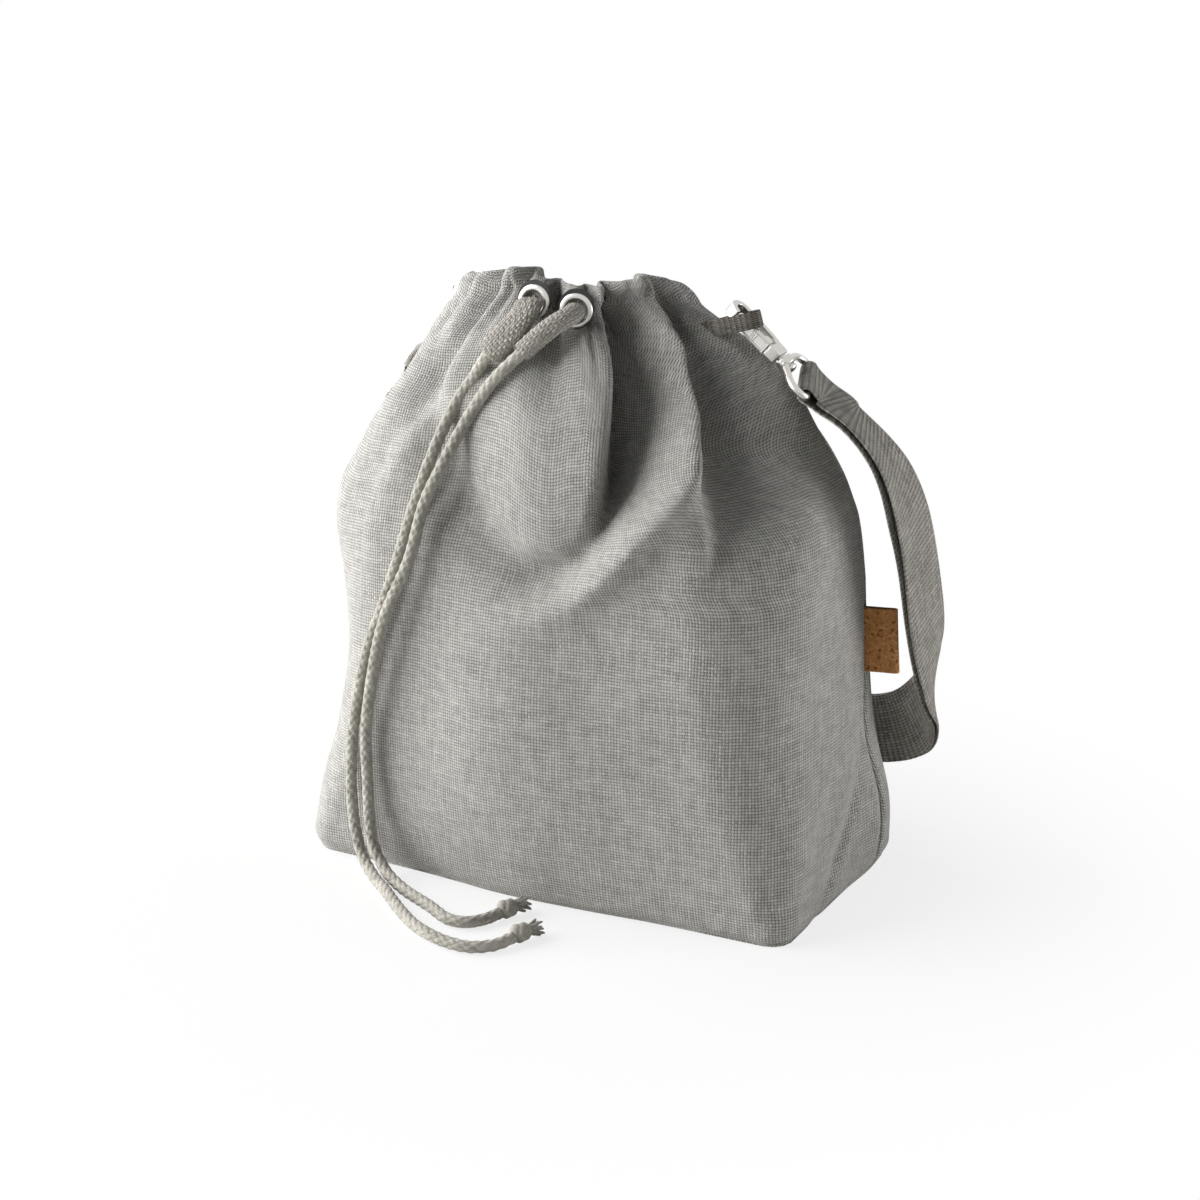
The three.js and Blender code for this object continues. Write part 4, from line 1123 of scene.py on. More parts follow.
    @staticmethod
    def ripple(s: Array, z: Array) -> Array:
        """Lets the cloth wander by a fraction of a millimetre, as handled cloth does."""
        waves = ((0.031, 0.021, 0.4, 0.42), (-0.047, 0.038, 1.9, 0.28), (0.083, 0.052, 4.1, 0.16),
                 (0.021, -0.088, 2.7, 0.2), (-0.12, 0.103, 5.3, 0.1), (0.19, 0.07, 0.9, 0.06))
        return sum(size * np.sin(kx * s + kz * z + phase) for kx, kz, phase, size in waves)

    def surface(self, u: Array, z: Array, detail: float = 1.0) -> Array:
        """Gives points on the outside of the cloth.

        Args:
            u: Turns round the bag, from the middle of the right side.
            z: Heights up the cloth, above its top for the part turned in at the rim.
            detail: How much of the fine creasing shows.

        Returns:
            Points in millimetres.
        """
        u, height = np.broadcast_arrays(np.asarray(u, float), np.asarray(z, float))
        z = np.minimum(height, self.top)
        turned = np.maximum(height - self.top, 0)
        sx, sy = self.rounded(u, self.half_depth(z), self.corner(z))
        x = sx * np.where(sx > 0, self.half_right(z), self.half_left(z))
        belly = self.crown * np.cos(np.minimum(np.abs(x) / self.half_face, 1) * np.pi / 2)
        y = sy + np.sign(sy) * belly * np.minimum((z + 30) / 90, 1) * (np.abs(sy) / 57) ** 2
        phi = self.angle(u)
        nx, ny = self.neck_point(phi)
        g = self.closing(z)
        x, y = x + (nx - x) * g, y + (ny - y) * g
        s = self.wrapped(u - 0.75) * self.girth
        shrink = 1 - self.gathered * g
        reach = self.strokes(self.folds, s, z, shrink) - self.pleat(phi, z)
        rise, lean = self.rim_roll
        roll = np.clip((z - self.top + rise) / rise, 0, 1)
        reach -= lean * (1 - np.sqrt(1 - 0.999 * roll * roll))
        left_shoulder = np.cos((phi - math.radians(192)) / 2) ** 14
        right_shoulder = np.cos((phi - math.radians(18)) / 2) ** 18
        reach -= self.round_over * (left_shoulder + right_shoulder) * smooth(z, 228, 249) ** 1.5
        reach += self.puckers(phi, z)
        fine = self.strokes(self.creases, s, z, shrink) + self.ripple(s, z) * (1 + 0.8 * g)
        reach += detail * fine * (1 - smooth(np.abs(s), 150, 175) * smooth(-z, -40, 0))
        bend = np.minimum(turned / self.rim_fold, 1) * np.pi / 2
        hanging = np.maximum(turned - self.rim_fold, 0)
        reach -= self.rim_drop * np.sin(bend) + 0.25 * hanging
        cx, cy = self.neck[0] * g, self.neck[1] * g
        away = np.hypot(x - cx, y - cy)
        x, y = x + (x - cx) / away * reach, y + (y - cy) / away * reach
        rim, foot = self.rim(np.degrees(phi) % 360), self.neck_from
        z = np.where(z > foot, foot + (z - foot) * (rim - foot) / (self.top - foot), z)
        z = z - self.rim_drop * (1 - np.cos(bend)) - hanging
        p = np.stack([x, y, z], -1)
        near, far = self.eyelet_flat
        for at, out in self.eyelets:
            d = np.linalg.norm(p - at, axis=-1)
            f = np.clip((far - d) / (far - near), 0, 1) * (turned == 0)
            p = p - ((p - at) @ out * f * f * (3 - 2 * f))[..., None] * out
        return p

    def seam_column(self, u: Array, z: Array) -> Array:
        """Leans the seam on the right back, from the base towards the label."""
        base, more, reach = self.seam_lean
        return u + (base + more * np.minimum(z / 100, 1)) * np.maximum(0, 1 - np.abs(self.wrapped(u)) / reach)

    def sheet(self, u: Array, z: Array, depth: float = 0.0, detail: float = 1.0) -> Array:
        """Gives a grid of points at one depth under the outside of the cloth.

        Args:
            u: Columns in turns.
            z: Rows in millimetres.
            depth: Distance under the outside.
            detail: How much of the fine creasing shows.

        Returns:
            Rows by columns by 3.
        """
        cols, rows = np.meshgrid(u, z)
        p = self.surface(self.seam_column(cols, rows), rows, detail)
        return p - self.facing(p) * depth

    @staticmethod
    def facing(p: Array) -> Array:
        """Gives outward unit normals of a grid of points."""
        return unit(np.cross(np.gradient(p, axis=1), np.gradient(p, axis=0)))


CLOTH = DrawnCloth()


# Cords


class SleeveShape(Enum):
    """Half width, how much it narrows, half heights along it, and power of its section."""

    FLAT = (5.3, 0.5, (1.9, 2.5, 3.15), 0.8)
    ROUND = (3.8, 0.1, (3.3, 3.5, 3.3), 1.0)


@dataclass
class Drawcord:
    """One end of the drawstring: a braid in a knitted sleeve, knotted and frayed."""

    name: str
    knots: Knots
    eyelet: int
    shape: SleeveShape
    diameter: float = 4.8
    sides: int = 30
    strands: int = 5  # round the braid each way
    lay: float = 0.72  # a strand's rise as a share of its way round
    raised: float = 0.42  # height of a strand over the groove beside it
    cord_from: float = 17.0  # where the cord starts inside its sleeve
    sleeve_length: float = 27.0
    course: float = 1.7  # between rows of knitting
    wales: int = 7  # stitches in half of a row
    stitch: float = 0.34  # height of a stitch
    raw_ends: int = 34
    knot_length: float = 8.5
    knot_radius: float = 4.0
    tuft: float = 7.2
    tuft_strands: int = 13

    def __post_init__(self) -> None:
        """Lays the route from the eyelet to the knot."""
        at, out = CLOTH.eyelets[self.eyelet]
        self.exit = at + out * 3
        self.path = Path([self.exit, *self.knots])

    def braid(self) -> Object:
        """Makes the braided cord, with the strands raised.

        Returns:
            The cord.
        """
        end = self.path.length
        s = np.append(np.arange(self.cord_from, end, 0.7), end + 0.5)
        travel = self.path.tangent(s)
        centre = self.path.at(s) + travel * np.maximum(s - end, 0)[:, None]
        turn = np.linspace(0, 1, self.sides + 1)[None]
        climb = s[:, None] / (TAU * self.diameter / self.strands * self.lay)
        a, b = self.strands * turn + climb, self.strands * turn - climb
        wave_a, wave_b = np.sin(np.pi * a), np.sin(np.pi * b)
        over = wave_a * wave_b / 2
        lift = np.maximum(np.abs(wave_a) ** 0.6 * (0.5 + over), np.abs(wave_b) ** 0.6 * (0.5 - over))
        radius = self.diameter / 2 - 0.34 + self.raised * lift[:, :-1]
        ring = ring_of(full_turn(self.sides), *transport(travel, np.array([1.0, 0, 0])))
        uv = np.stack([a, b], -1) * BRAID.pitch[0]
        skin = Skin().grid(centre[:, None] + radius[..., None] * ring, uv, wrap=True, caps=True)
        piece = skin.build(f"drawcord_{self.name}", BRAID, 180)
        return settle(piece, "bag", [f"drawcord_tail_{self.name}"])

    def sleeve(self) -> Object:
        """Makes the knitted sleeve, with its rows of stitches raised and its cut end ragged.

        Returns:
            The sleeve.
        """
        half_width, narrowing, heights, power = self.shape.value
        s = np.linspace(0, self.sleeve_length, 112)
        f = s / self.sleeve_length
        t = self.path.tangent(s)
        across = unit(np.array([1.0, 0, 0]) - t * t[:, :1])
        proud = np.cross(across, t)
        angle = full_turn(84)
        shift = s[:, None] // self.course % 2 * math.pi / 2
        wale = np.abs(np.sin(angle * self.wales + shift)) ** 0.6
        stitch = self.stitch * wale * np.abs(np.sin(s[:, None] * math.pi / self.course)) ** 0.6
        ripple = 0.25 * np.sin(s[:, None] * 0.55) * np.cos(3 * angle)
        wide = half_width - smooth(f, 0.8, 1.0) * narrowing
        tall = np.interp(f, [0, 0.3, 1], heights)
        x = (wide[:, None] + stitch + ripple) * blunt(np.cos(angle), power)
        y = (tall[:, None] + stitch) * blunt(np.sin(angle), power)
        middle = self.path.at(s)[:, None]
        outer = sweep(middle[:, 0], across, proud, x, y)
        inner = middle + (outer - middle) * 0.86
        edge = outer[-1:] * 0.5 + inner[-1:] * 0.5 + t[-1] * 0.35
        skin = Skin().grid(np.vstack([outer, edge, inner[::-1][:12]]), wrap=True)
        rng = np.random.default_rng(11 + self.eyelet)
        for _ in range(self.raw_ends):
            root = outer[-1, rng.integers(0, len(angle))] * 0.94 + middle[-1, 0] * 0.06
            lean = unit(t[-1] + 0.35 * rng.normal(size=3))
            line = root + np.linspace(-0.4, rng.uniform(0.8, 2.0), 4)[:, None] * lean
            skin.tube(line, np.array([0.2, 0.2, 0.16, 0.08]), sides=5)
        piece = skin.build(f"sleeve_{self.name}", KNIT, 180)
        return settle(piece, "bag", [f"cord_sleeve_{self.name}"])

    def knot(self) -> Object:
        """Makes the knot with its diagonal wraps, and the strands that fan out of it.

        Returns:
            The knot.
        """
        end = self.path.at(self.path.length)
        end[2] = max(end[2], self.knot_radius + 0.1)
        way = unit(self.path.tangent(self.path.length) * np.array([1, 1, 0]))
        side = np.cross(UP, way)
        f = np.linspace(0, 1, 34)
        profile = np.interp(f, [0, 0.06, 0.25, 0.5, 0.75, 0.92, 1], [0.42, 0.72, 0.98, 1, 0.9, 0.62, 0.5])
        turn = np.linspace(0, 1, 41)
        spin, rise = turn[None, :-1], f[:, None]
        groove = 1 - np.abs(np.sin(np.pi * (spin * 2 + rise * 1.35))) ** 0.5
        cross = 1 - np.abs(np.sin(np.pi * (spin - rise * 0.8 + 0.3))) ** 0.22
        radius = self.knot_radius * profile[:, None] - 0.75 * groove - 0.5 * cross
        centre = end + way * (f * self.knot_length + 0.2)[:, None]
        bulb = centre[:, None] + radius[..., None] * ring_of(full_turn(40), side, UP)
        around = turn * 2 * self.knot_radius * math.pi
        uv = np.stack(np.meshgrid(around, f * self.knot_length), -1)
        skin = Skin().grid(bulb, uv, wrap=True, caps=True)
        self.fray(skin, end + way * (self.knot_length - 0.8), way, side)
        piece = skin.build(f"cord_end_{self.name}", YARN, 70)
        return settle(piece, "bag", [f"cord_knot_{self.name}"])

    def fray(self, skin: Skin, root: Array, way: Array, side: Array) -> None:
        """Fans the loose strands out of the knot.

        Args:
            skin: The mesh that they are added to.
            root: Where they leave the knot.
            way: The way that the cord points.
            side: A level direction square to it.
        """
        rng = np.random.default_rng(5 + self.eyelet)
        f = np.linspace(0, 1, 8)[:, None]
        thickness = np.interp(f[:, 0], [0, 0.3, 0.85, 1], [0.72, 0.72, 0.6, 0.3])
        for k in range(self.tuft_strands):
            spin = TAU * k * 0.618
            spread = 0.25 + 0.75 * ((k + 0.5) / self.tuft_strands) ** 0.5
            outward = math.cos(spin) * side + math.sin(spin) * UP
            reach = self.tuft * rng.uniform(0.85, 1.1)
            bow = 0.9 * rng.normal(size=3) * f * (1 - f)
            line = root + outward * 1.1 + way * reach * f * (1 - 0.25 * spread * f)
            line = line + outward * spread * 2.6 * f + bow * 1.4
            line[:, 2] = np.maximum(line[:, 2] - 0.8 * f[:, 0] ** 2, 0.75)
            skin.tube(line, thickness, sides=8)

    def build(self) -> None:
        braid, sleeve, knot = self.braid(), self.sleeve(), self.knot()
        s = np.arange(self.cord_from, self.path.length, 2.0)
        route = self.path.at(np.append(s, self.path.length)) * MM


# How the two ends settle over the front of the bag and on the floor
LEFT_TAIL = (
    (-8.8, -43.4, 236.4), (-9.6, -45.8, 232.8), (-14.8, -49.2, 225.5), (-23.2, -49.7, 217.1),
    (-30.5, -47.5, 208), (-36, -49, 200), (-41, -53.5, 188), (-45, -58, 175), (-50.5, -62.5, 156),
    (-56, -65.5, 136), (-65, -66, 112), (-70.5, -66, 99), (-79.5, -65, 65), (-81.5, -65, 47),
    (-82, -65, 33), (-80.5, -65.5, 19), (-76, -68, 8.5), (-67, -74, 3.4), (-54, -84, 2.8),
    (-38, -97.5, 2.8), (-24, -107, 2.8), (-8, -112.5, 2.8), (3, -112, 2.8), (10, -106, 2.8),
    (13, -98.5, 3.2),
)
RIGHT_TAIL = (
    (9.2, -41.4, 234), (5.4, -45.6, 231.4), (-1.2, -49.4, 225.6), (-9.5, -52.4, 217.4),
    (-18.1, -53.6, 208.8), (-27, -52.5, 198), (-33.5, -55.5, 186), (-37.8, -60, 175), (-43, -65, 161),
    (-48.5, -69, 138), (-60, -70.5, 112), (-69.5, -69, 76), (-72.5, -67.5, 58), (-72.5, -67, 40),
    (-72, -67.5, 25), (-69, -69, 13), (-62, -72, 5.5), (-51, -78, 2.9), (-31, -88, 2.8),
    (-17.5, -95, 2.8), (-10, -94, 2.8), (-5, -88, 2.8), (-2.5, -82, 3.2),
)


# The bag


@dataclass(frozen=True)
class Ply:
    """What a layer of the bag is cut from."""

    thickness: float
    finish: Finish
    slot: str


@dataclass
class BagShell:
    """The outer cloth, front and back, the base, and what lines them."""

    cloth: Ply = Ply(1.0, LINEN, "linen_fabric")
    base: Ply = Ply(1.2, LINEN, "linen_fabric")
    foam: Ply = Ply(3.5, FOAM, "foam")
    lining: Ply = Ply(0.6, TAFFETA, "lining_fabric")
    foot: float = 0.9  # where the walls start
    turned_in: float = 11.0  # cloth folded in at the rim
    gap: float = 0.35  # between two layers
    foam_span: Pair = (7.0, 146.0)
    collar_span: Pair = (165.0, 228.0)
    gather: float = 0.15  # how far the threads run together at the neck
    seam_sink: float = 1.3  # depth of the side seams
    seam_swell: Pair = (0.35, 4.5)  # height of the cloth beside a seam, and how far off
    foot_tuck: float = 0.5  # how far the walls dip in at the base
    roll: Triple = (1.05, 1.15, 1.5)  # base seam: radius, height and inset
    hem_span: Pair = (228.6, 240.0)
    hem_half: Pair = (29.6, 9.3)  # half sizes of the hem's foot
    hem_thickness: float = 0.5

    @staticmethod
    def columns(side: str, count: int) -> Array:
        """Spreads columns over the front or the back panel, closer at the seams."""
        f = np.linspace(0, 1, count)
        return (0.5 if side == "front" else 0.0) + 0.5 * (f - 0.028 * np.sin(TAU * f))

    def threads(self, points: Array, u: Array) -> Array:
        """Lays thread coordinates on a panel: true to length, but gathered at the neck.

        Args:
            points: The panel's grid.
            u: Its columns in turns.

        Returns:
            Coordinates in millimetres.
        """
        middle = len(u) // 2
        across = marks_along(points, 1)
        across -= across[:, middle, None]
        woven = (u - u[middle]) * CLOTH.girth
        return np.stack([woven * self.gather + across * (1 - self.gather), marks_along(points)], -1)

    def outer(self, side: str, count: int, step: float) -> Object:
        """Makes an outer panel, sewn edges sunk and its rim turned in.

        Args:
            side: "front" or "back".
            count: Columns of the grid.
            step: Millimetres between rows.

        Returns:
            The panel.
        """
        u, top = self.columns(side, count), CLOTH.top
        z = np.concatenate([np.arange(self.foot, top - 8, step), np.arange(top - 8, top, 0.5),
                            top + np.arange(0, self.turned_in, 0.8)])
        p = CLOTH.sheet(u, z)
        edge = np.minimum(u - u[0], u[-1] - u) * CLOTH.girth
        swell, beside = self.seam_swell
        sunk = self.seam_sink * np.exp(-((edge / 1.1) ** 2)) - swell * np.exp(-(((edge - beside) / 1.6) ** 2))
        tuck = self.foot_tuck * np.exp(-(((z - self.foot) / 0.9) ** 2))
        p = p - CLOTH.facing(p) * (sunk[None] + tuck[:, None])[..., None]
        panel = Skin().grid(p, self.threads(p, u)).build(f"outer_{side}", self.cloth.finish, 180)
        solidify(panel, self.cloth.thickness)
        return settle(panel, "bag", [f"outer_{side}_panel"])

    def layer(self, name: str, side: str, span: Pair, depth: float, ply: Ply) -> Object:
        """Makes a layer that follows the inside of the cloth.

        Args:
            name: The start of the piece's name and of its solid's.
            side: "front" or "back".
            span: Its lowest and highest cloth height.
            depth: How far it lies under the outside.
            ply: What it is cut from.

        Returns:
            The layer.
        """
        u = self.columns(side, 150)
        z = np.linspace(*span, max(12, int((span[1] - span[0]) / 3)))
        p = CLOTH.sheet(u, z, depth, 0.6)
        piece = Skin().grid(p, self.threads(p, u)).build(f"{name}_ply_{side}", ply.finish, 180)
        solidify(piece, ply.thickness)
        return settle(piece, "bag", [f"{name}_{side}"])

    @staticmethod
    def outline(z: float, count: int, detail: float) -> tuple[Array, Array]:
        """Walks round the bag at one height.

        Args:
            z: The height up the cloth.
            count: Points on the way.
            detail: How much of the fine creasing shows.

        Returns:
            The points, and level directions inwards.
        """
        u = np.linspace(0, 1, count, endpoint=False)
        p = CLOTH.surface(CLOTH.seam_column(u, np.full_like(u, z)), np.full_like(u, z), detail)
        ahead = np.roll(p, -1, 0) - np.roll(p, 1, 0)
        return p, unit(np.cross(UP, ahead * np.array([1, 1, 0])))

    def plate(self, name: str, node: str, inset: float, low: float, ply: Ply) -> Object:
        """Makes a flat layer of the base with rounded edges.

        Args:
            name: The piece's name.
            node: The solid that it replaces.
            inset: How far it is drawn in from the foot of the cloth.
            low: Height of its underside.
            ply: What it is cut from.

        Returns:
            The plate.
        """
        p, inward = self.outline(1.6, 220, 0.0)
        rim = (p + inward * inset)[:, :2]
        shares = (0.02, 0.2, 0.4, 0.6, 0.8, 0.92, 0.985, 1.0)
        rings = []
        for is_top, order in ((False, shares), (True, shares[::-1])):
            for share in order:
                edge = 0.3 * ply.thickness * smooth(share, 0.98, 1.0)
                height = low + (ply.thickness - edge if is_top else edge)
                rings.append(np.column_stack([rim * share, np.full(len(rim), height)]))
        p = np.array(rings)
        uv = np.concatenate([p[..., :2], p[:, :1, :2]], axis=1)
        piece = Skin().grid(p, uv, wrap=True, caps=True, flip=True).build(name, ply.finish, 60)
        return settle(piece, "bag", [node])

    def piping(self) -> None:
        """Makes the rolled edge where the walls are sewn to the base."""
        radius, height, inset = self.roll
        p, inward = self.outline(2.0, 900, 1.0)
        s = marks_along(np.vstack([p, p[:1]]))[:, None]
        centre = p + inward * inset
        centre[:, 2] = height
        r = radius + 0.08 * np.sin(s[1:] * 0.11) * np.sin(s[1:] * 0.043)
        p = centre[:, None] + r[..., None] * ring_of(full_turn(12), -inward, UP)
        girth = np.linspace(0, TAU, 13) * 1.3
        uv = np.stack([s + girth, np.broadcast_to(girth, (len(s), 13))], -1)
        skin = Skin().grid(np.concatenate([p, p[:1]]), uv, wrap=True, flip=True)
        settle(skin.build("base_seam_roll", self.base.finish, 180), "bag", [])

    def hem(self) -> None:
        """Makes the inner wall of the drawstring channel, flared out to the turned rim."""
        x, y = CLOTH.neck[:2]
        a, b = self.hem_half
        low, high = self.hem_span
        phi = full_turn(240)
        edge = CLOTH.surface(phi / TAU, np.full_like(phi, CLOTH.top + 8.0), 0.6)
        angle = np.arctan2(edge[:, 1] - y, edge[:, 0] - x)
        out = np.stack([np.cos(angle), np.sin(angle)], -1)
        ellipse = np.array([x, y]) + out * np.array([a, b])
        gathers = out * (0.7 * np.sin(29 * phi + 0.6 * np.sin(5 * phi)))[:, None]
        rows = []
        for f in np.linspace(0, 1, 14):
            flare = smooth(f, 0.45, 1.0)
            xy = ellipse * (1 - flare) + edge[:, :2] * flare
            xy = xy + gathers * (0.4 + 0.6 * f) * (1 - flare * 0.6)
            height = low + (high - low) * f - 3 * out[:, 1]
            rows.append(np.column_stack([xy, height * (1 - flare) + (edge[:, 2] - 0.6) * flare]))
        skin = Skin().grid(np.array(rows), wrap=True, flip=True)
        piece = skin.build("channel_hem", self.lining.finish, 180)
        solidify(piece, self.hem_thickness)
        settle(piece, "bag", ["channel_inner_hem"])

    def walls(self, side: str, count: int, step: float) -> None:
        """Args:
            side: "front" or "back".
            count: Columns of the outer panel.
            step: Millimetres between its rows.
        """
        foam_in = self.cloth.thickness + self.gap
        liner_in = foam_in + self.foam.thickness + self.gap
        collar_in = self.cloth.thickness + 0.8
        panel = self.outer(side, count, step)
        pad = self.layer("foam", side, self.foam_span, foam_in, self.foam)
        inner = self.layer("liner", side, self.foam_span, liner_in, self.lining)
        collar = self.layer("collar_lining", side, self.collar_span, collar_in, self.lining)

    def build(self) -> None:
        """Makes the walls, the base, the seam between them and the channel's hem."""
        self.walls("front", 420, 1.1)
        self.walls("back", 300, 1.5)
        self.plate("outer_base", "outer_base_panel", 0.4, 0.0, self.base)
        pad = self.plate("foam_base_ply", "foam_base", 1.6, 1.55, self.foam)
        self.plate("liner_base_ply", "liner_base", 1.6, 5.4, self.lining)
        self.piping()
        self.hem()


@dataclass
class Eyelets:
    """Two rolled metal eyelets on dark washers, and the flat tape that runs through them."""

    bore: float = 8.4
    flange: float = 13.3
    barrel: float = 10.0
    depth: float = 3.2
    washer: float = 14.3
    washer_up: float = 1.1  # how far the washer stands above the eyelet's middle
    run: Pair = (33.0, 12.7)  # half sizes of the tape's way round the neck
    tape_width: float = 4.4
    tape_ply: float = 1.5

    def build(self) -> None:
        """Makes the eyelets, the washers and the tape."""
        bore, rim, wall, disc = self.bore / 2, self.flange / 2, self.barrel / 2, self.washer / 2
        bend = arc((bore + 0.75, 1.25), (0.75, 0.75), 180, 90, 8)
        fall = [(rim - 1.1 + 1.1 * math.sin(a), 0.95 + math.cos(a)) for a in np.linspace(0.2, math.pi / 2, 8)]
        metal = [(bore, -self.depth), *bend, (bore + 1.3, 2.02), *fall, (rim - 0.25, 0.9), (wall, 0.9),
                 (wall, -self.depth)]
        fibre = [(wall + 0.4, 0.3), (disc - 0.15, 0.3), (disc, 0.55), (disc - 0.15, 0.85), (wall + 0.4, 0.85)]
        parts = (("ring", "eyelet", metal, 0.0, NICKEL, "nickel"),
                 ("washer", "eyelet_backing", fibre, self.washer_up, WASHER, "backing_tape"))
        for (at, out), side in zip(CLOTH.eyelets, ("left", "right")):
            up = unit(UP - out * out[2])
            place = frame_of([np.cross(up, out), up, out], at)
            for name, node, profile, rise, finish, slot in parts:
                loop = [(h, r) for r, h in (*profile, profile[0])]
                skin = Skin().lathe(loop, np.array([0, rise, 0]), np.eye(3), 72).move(place)
                settle(skin.build(f"eyelet_{name}_{side}", finish, 55), "bag", [f"{node}_{side}"])
        self.tape()

    def tape(self) -> None:
        """Makes the tape round the neck inside the channel, out through both eyelets."""
        x, y = CLOTH.neck[:2]
        a, b = self.run
        steps = ((2.2, 0.0), (-self.depth - 4, -3.2), (-self.depth - 9, -6.0))
        left, right = CLOTH.eyelets
        reach = [right[0] + right[1] * d + np.array([shift, 0, 0]) for d, shift in steps]
        back = [left[0] + left[1] * d for d, _ in steps[::-1]]
        turns = [math.radians(d) for d in range(325, 595, 20)]
        around = [(x + a * math.cos(q), y + b * math.sin(q), 235.5 - 3 * math.sin(q)) for q in turns]
        path = Path([*reach, *around, *back])
        s = np.arange(0, path.length, 1.0)
        t = path.tangent(s)
        tall = unit(UP - t * t[:, 2:])
        angle = full_turn(16)
        up = (self.tape_width / 2 - 0.05) * blunt(np.cos(angle), 0.6)
        through = self.tape_ply / 2 * blunt(np.sin(angle), 0.6)
        p = sweep(path.at(s), tall, np.cross(t, tall), up, through)
        piece = Skin().grid(p, wrap=True, caps=True).build("draw_tape", TAPE, 60)
        settle(piece, "bag", ["draw_tape_run"])


@dataclass
class CorkLabel:
    """A strip of cork sheet folded in two and sewn into the right seam."""

    column: float = 0.053  # turns from the middle of the right side
    low: float = 86.5
    height: float = 26.5
    reach: float = 13.5
    spread: float = 1.9
    ply: float = 0.7
    tilt: float = 4.0
    curl: float = 0.25

    def build(self) -> None:
        """Makes the folded strip."""
        foot = CLOTH.surface(np.array(self.column), np.array(self.low), 0.0)
        half = self.spread / 2
        leg = [(-0.4, half - 0.35), (3.0, half - 0.38), (8.0, half - 0.45)]
        bend = [(self.reach - half - 1 + (half + 0.4) * math.sin(a), -(half - self.ply / 2) * math.cos(a))
                for a in np.linspace(0.2, math.pi - 0.2, 9)]
        middle = Path([(x, y, 0) for x, y in (*[(x, -y) for x, y in leg], *bend, *leg[::-1])])
        s = np.linspace(0, middle.length, 70)
        at = middle.at(s)
        rise = np.linspace(0, self.height, 40)
        curl = self.curl * np.sin(rise / self.height * math.pi) * smooth(at[:, :1], 4, 13)
        p = (at + np.cross(middle.tangent(s), UP) * self.ply / 2)[:, None] + rise[:, None] * UP
        p = p - curl[..., None] * ACROSS
        a = math.radians(-self.tilt)
        axes = [np.array([math.cos(a), 0, -math.sin(a)]), ACROSS, np.array([math.sin(a), 0, math.cos(a)])]
        place = frame_of(axes, np.array([foot[0] + 0.8, foot[1] - 1 + half, self.low]))
        piece = Skin().grid(p).move(place).build("label_of_cork", CORK, 60)
        solidify(piece, self.ply)
        bevel(piece, 0.15, 2)
        settle(piece, "bag", ["cork_label"])


# Hooks, tabs and strap

AXIS = np.array([0.745, 0.0, -0.667])  # along the hook, from its nose to the swivel
FLAT = np.cross(AXIS, ACROSS)  # through the hook's thickness
NOSE = np.array([4.8, 2.9, 9.1])
TAPE_OUT = np.array([0.963, 0.0, 0.271])
TAPE_WIDE = np.array([-0.271, 0.0, 0.963])


def along(s: float, y: float = 0.0, t: float = 0.0) -> Array:
    """Gives a point of the hook: along, across and through its thickness."""
    return NOSE + AXIS * s + ACROSS * y + FLAT * t


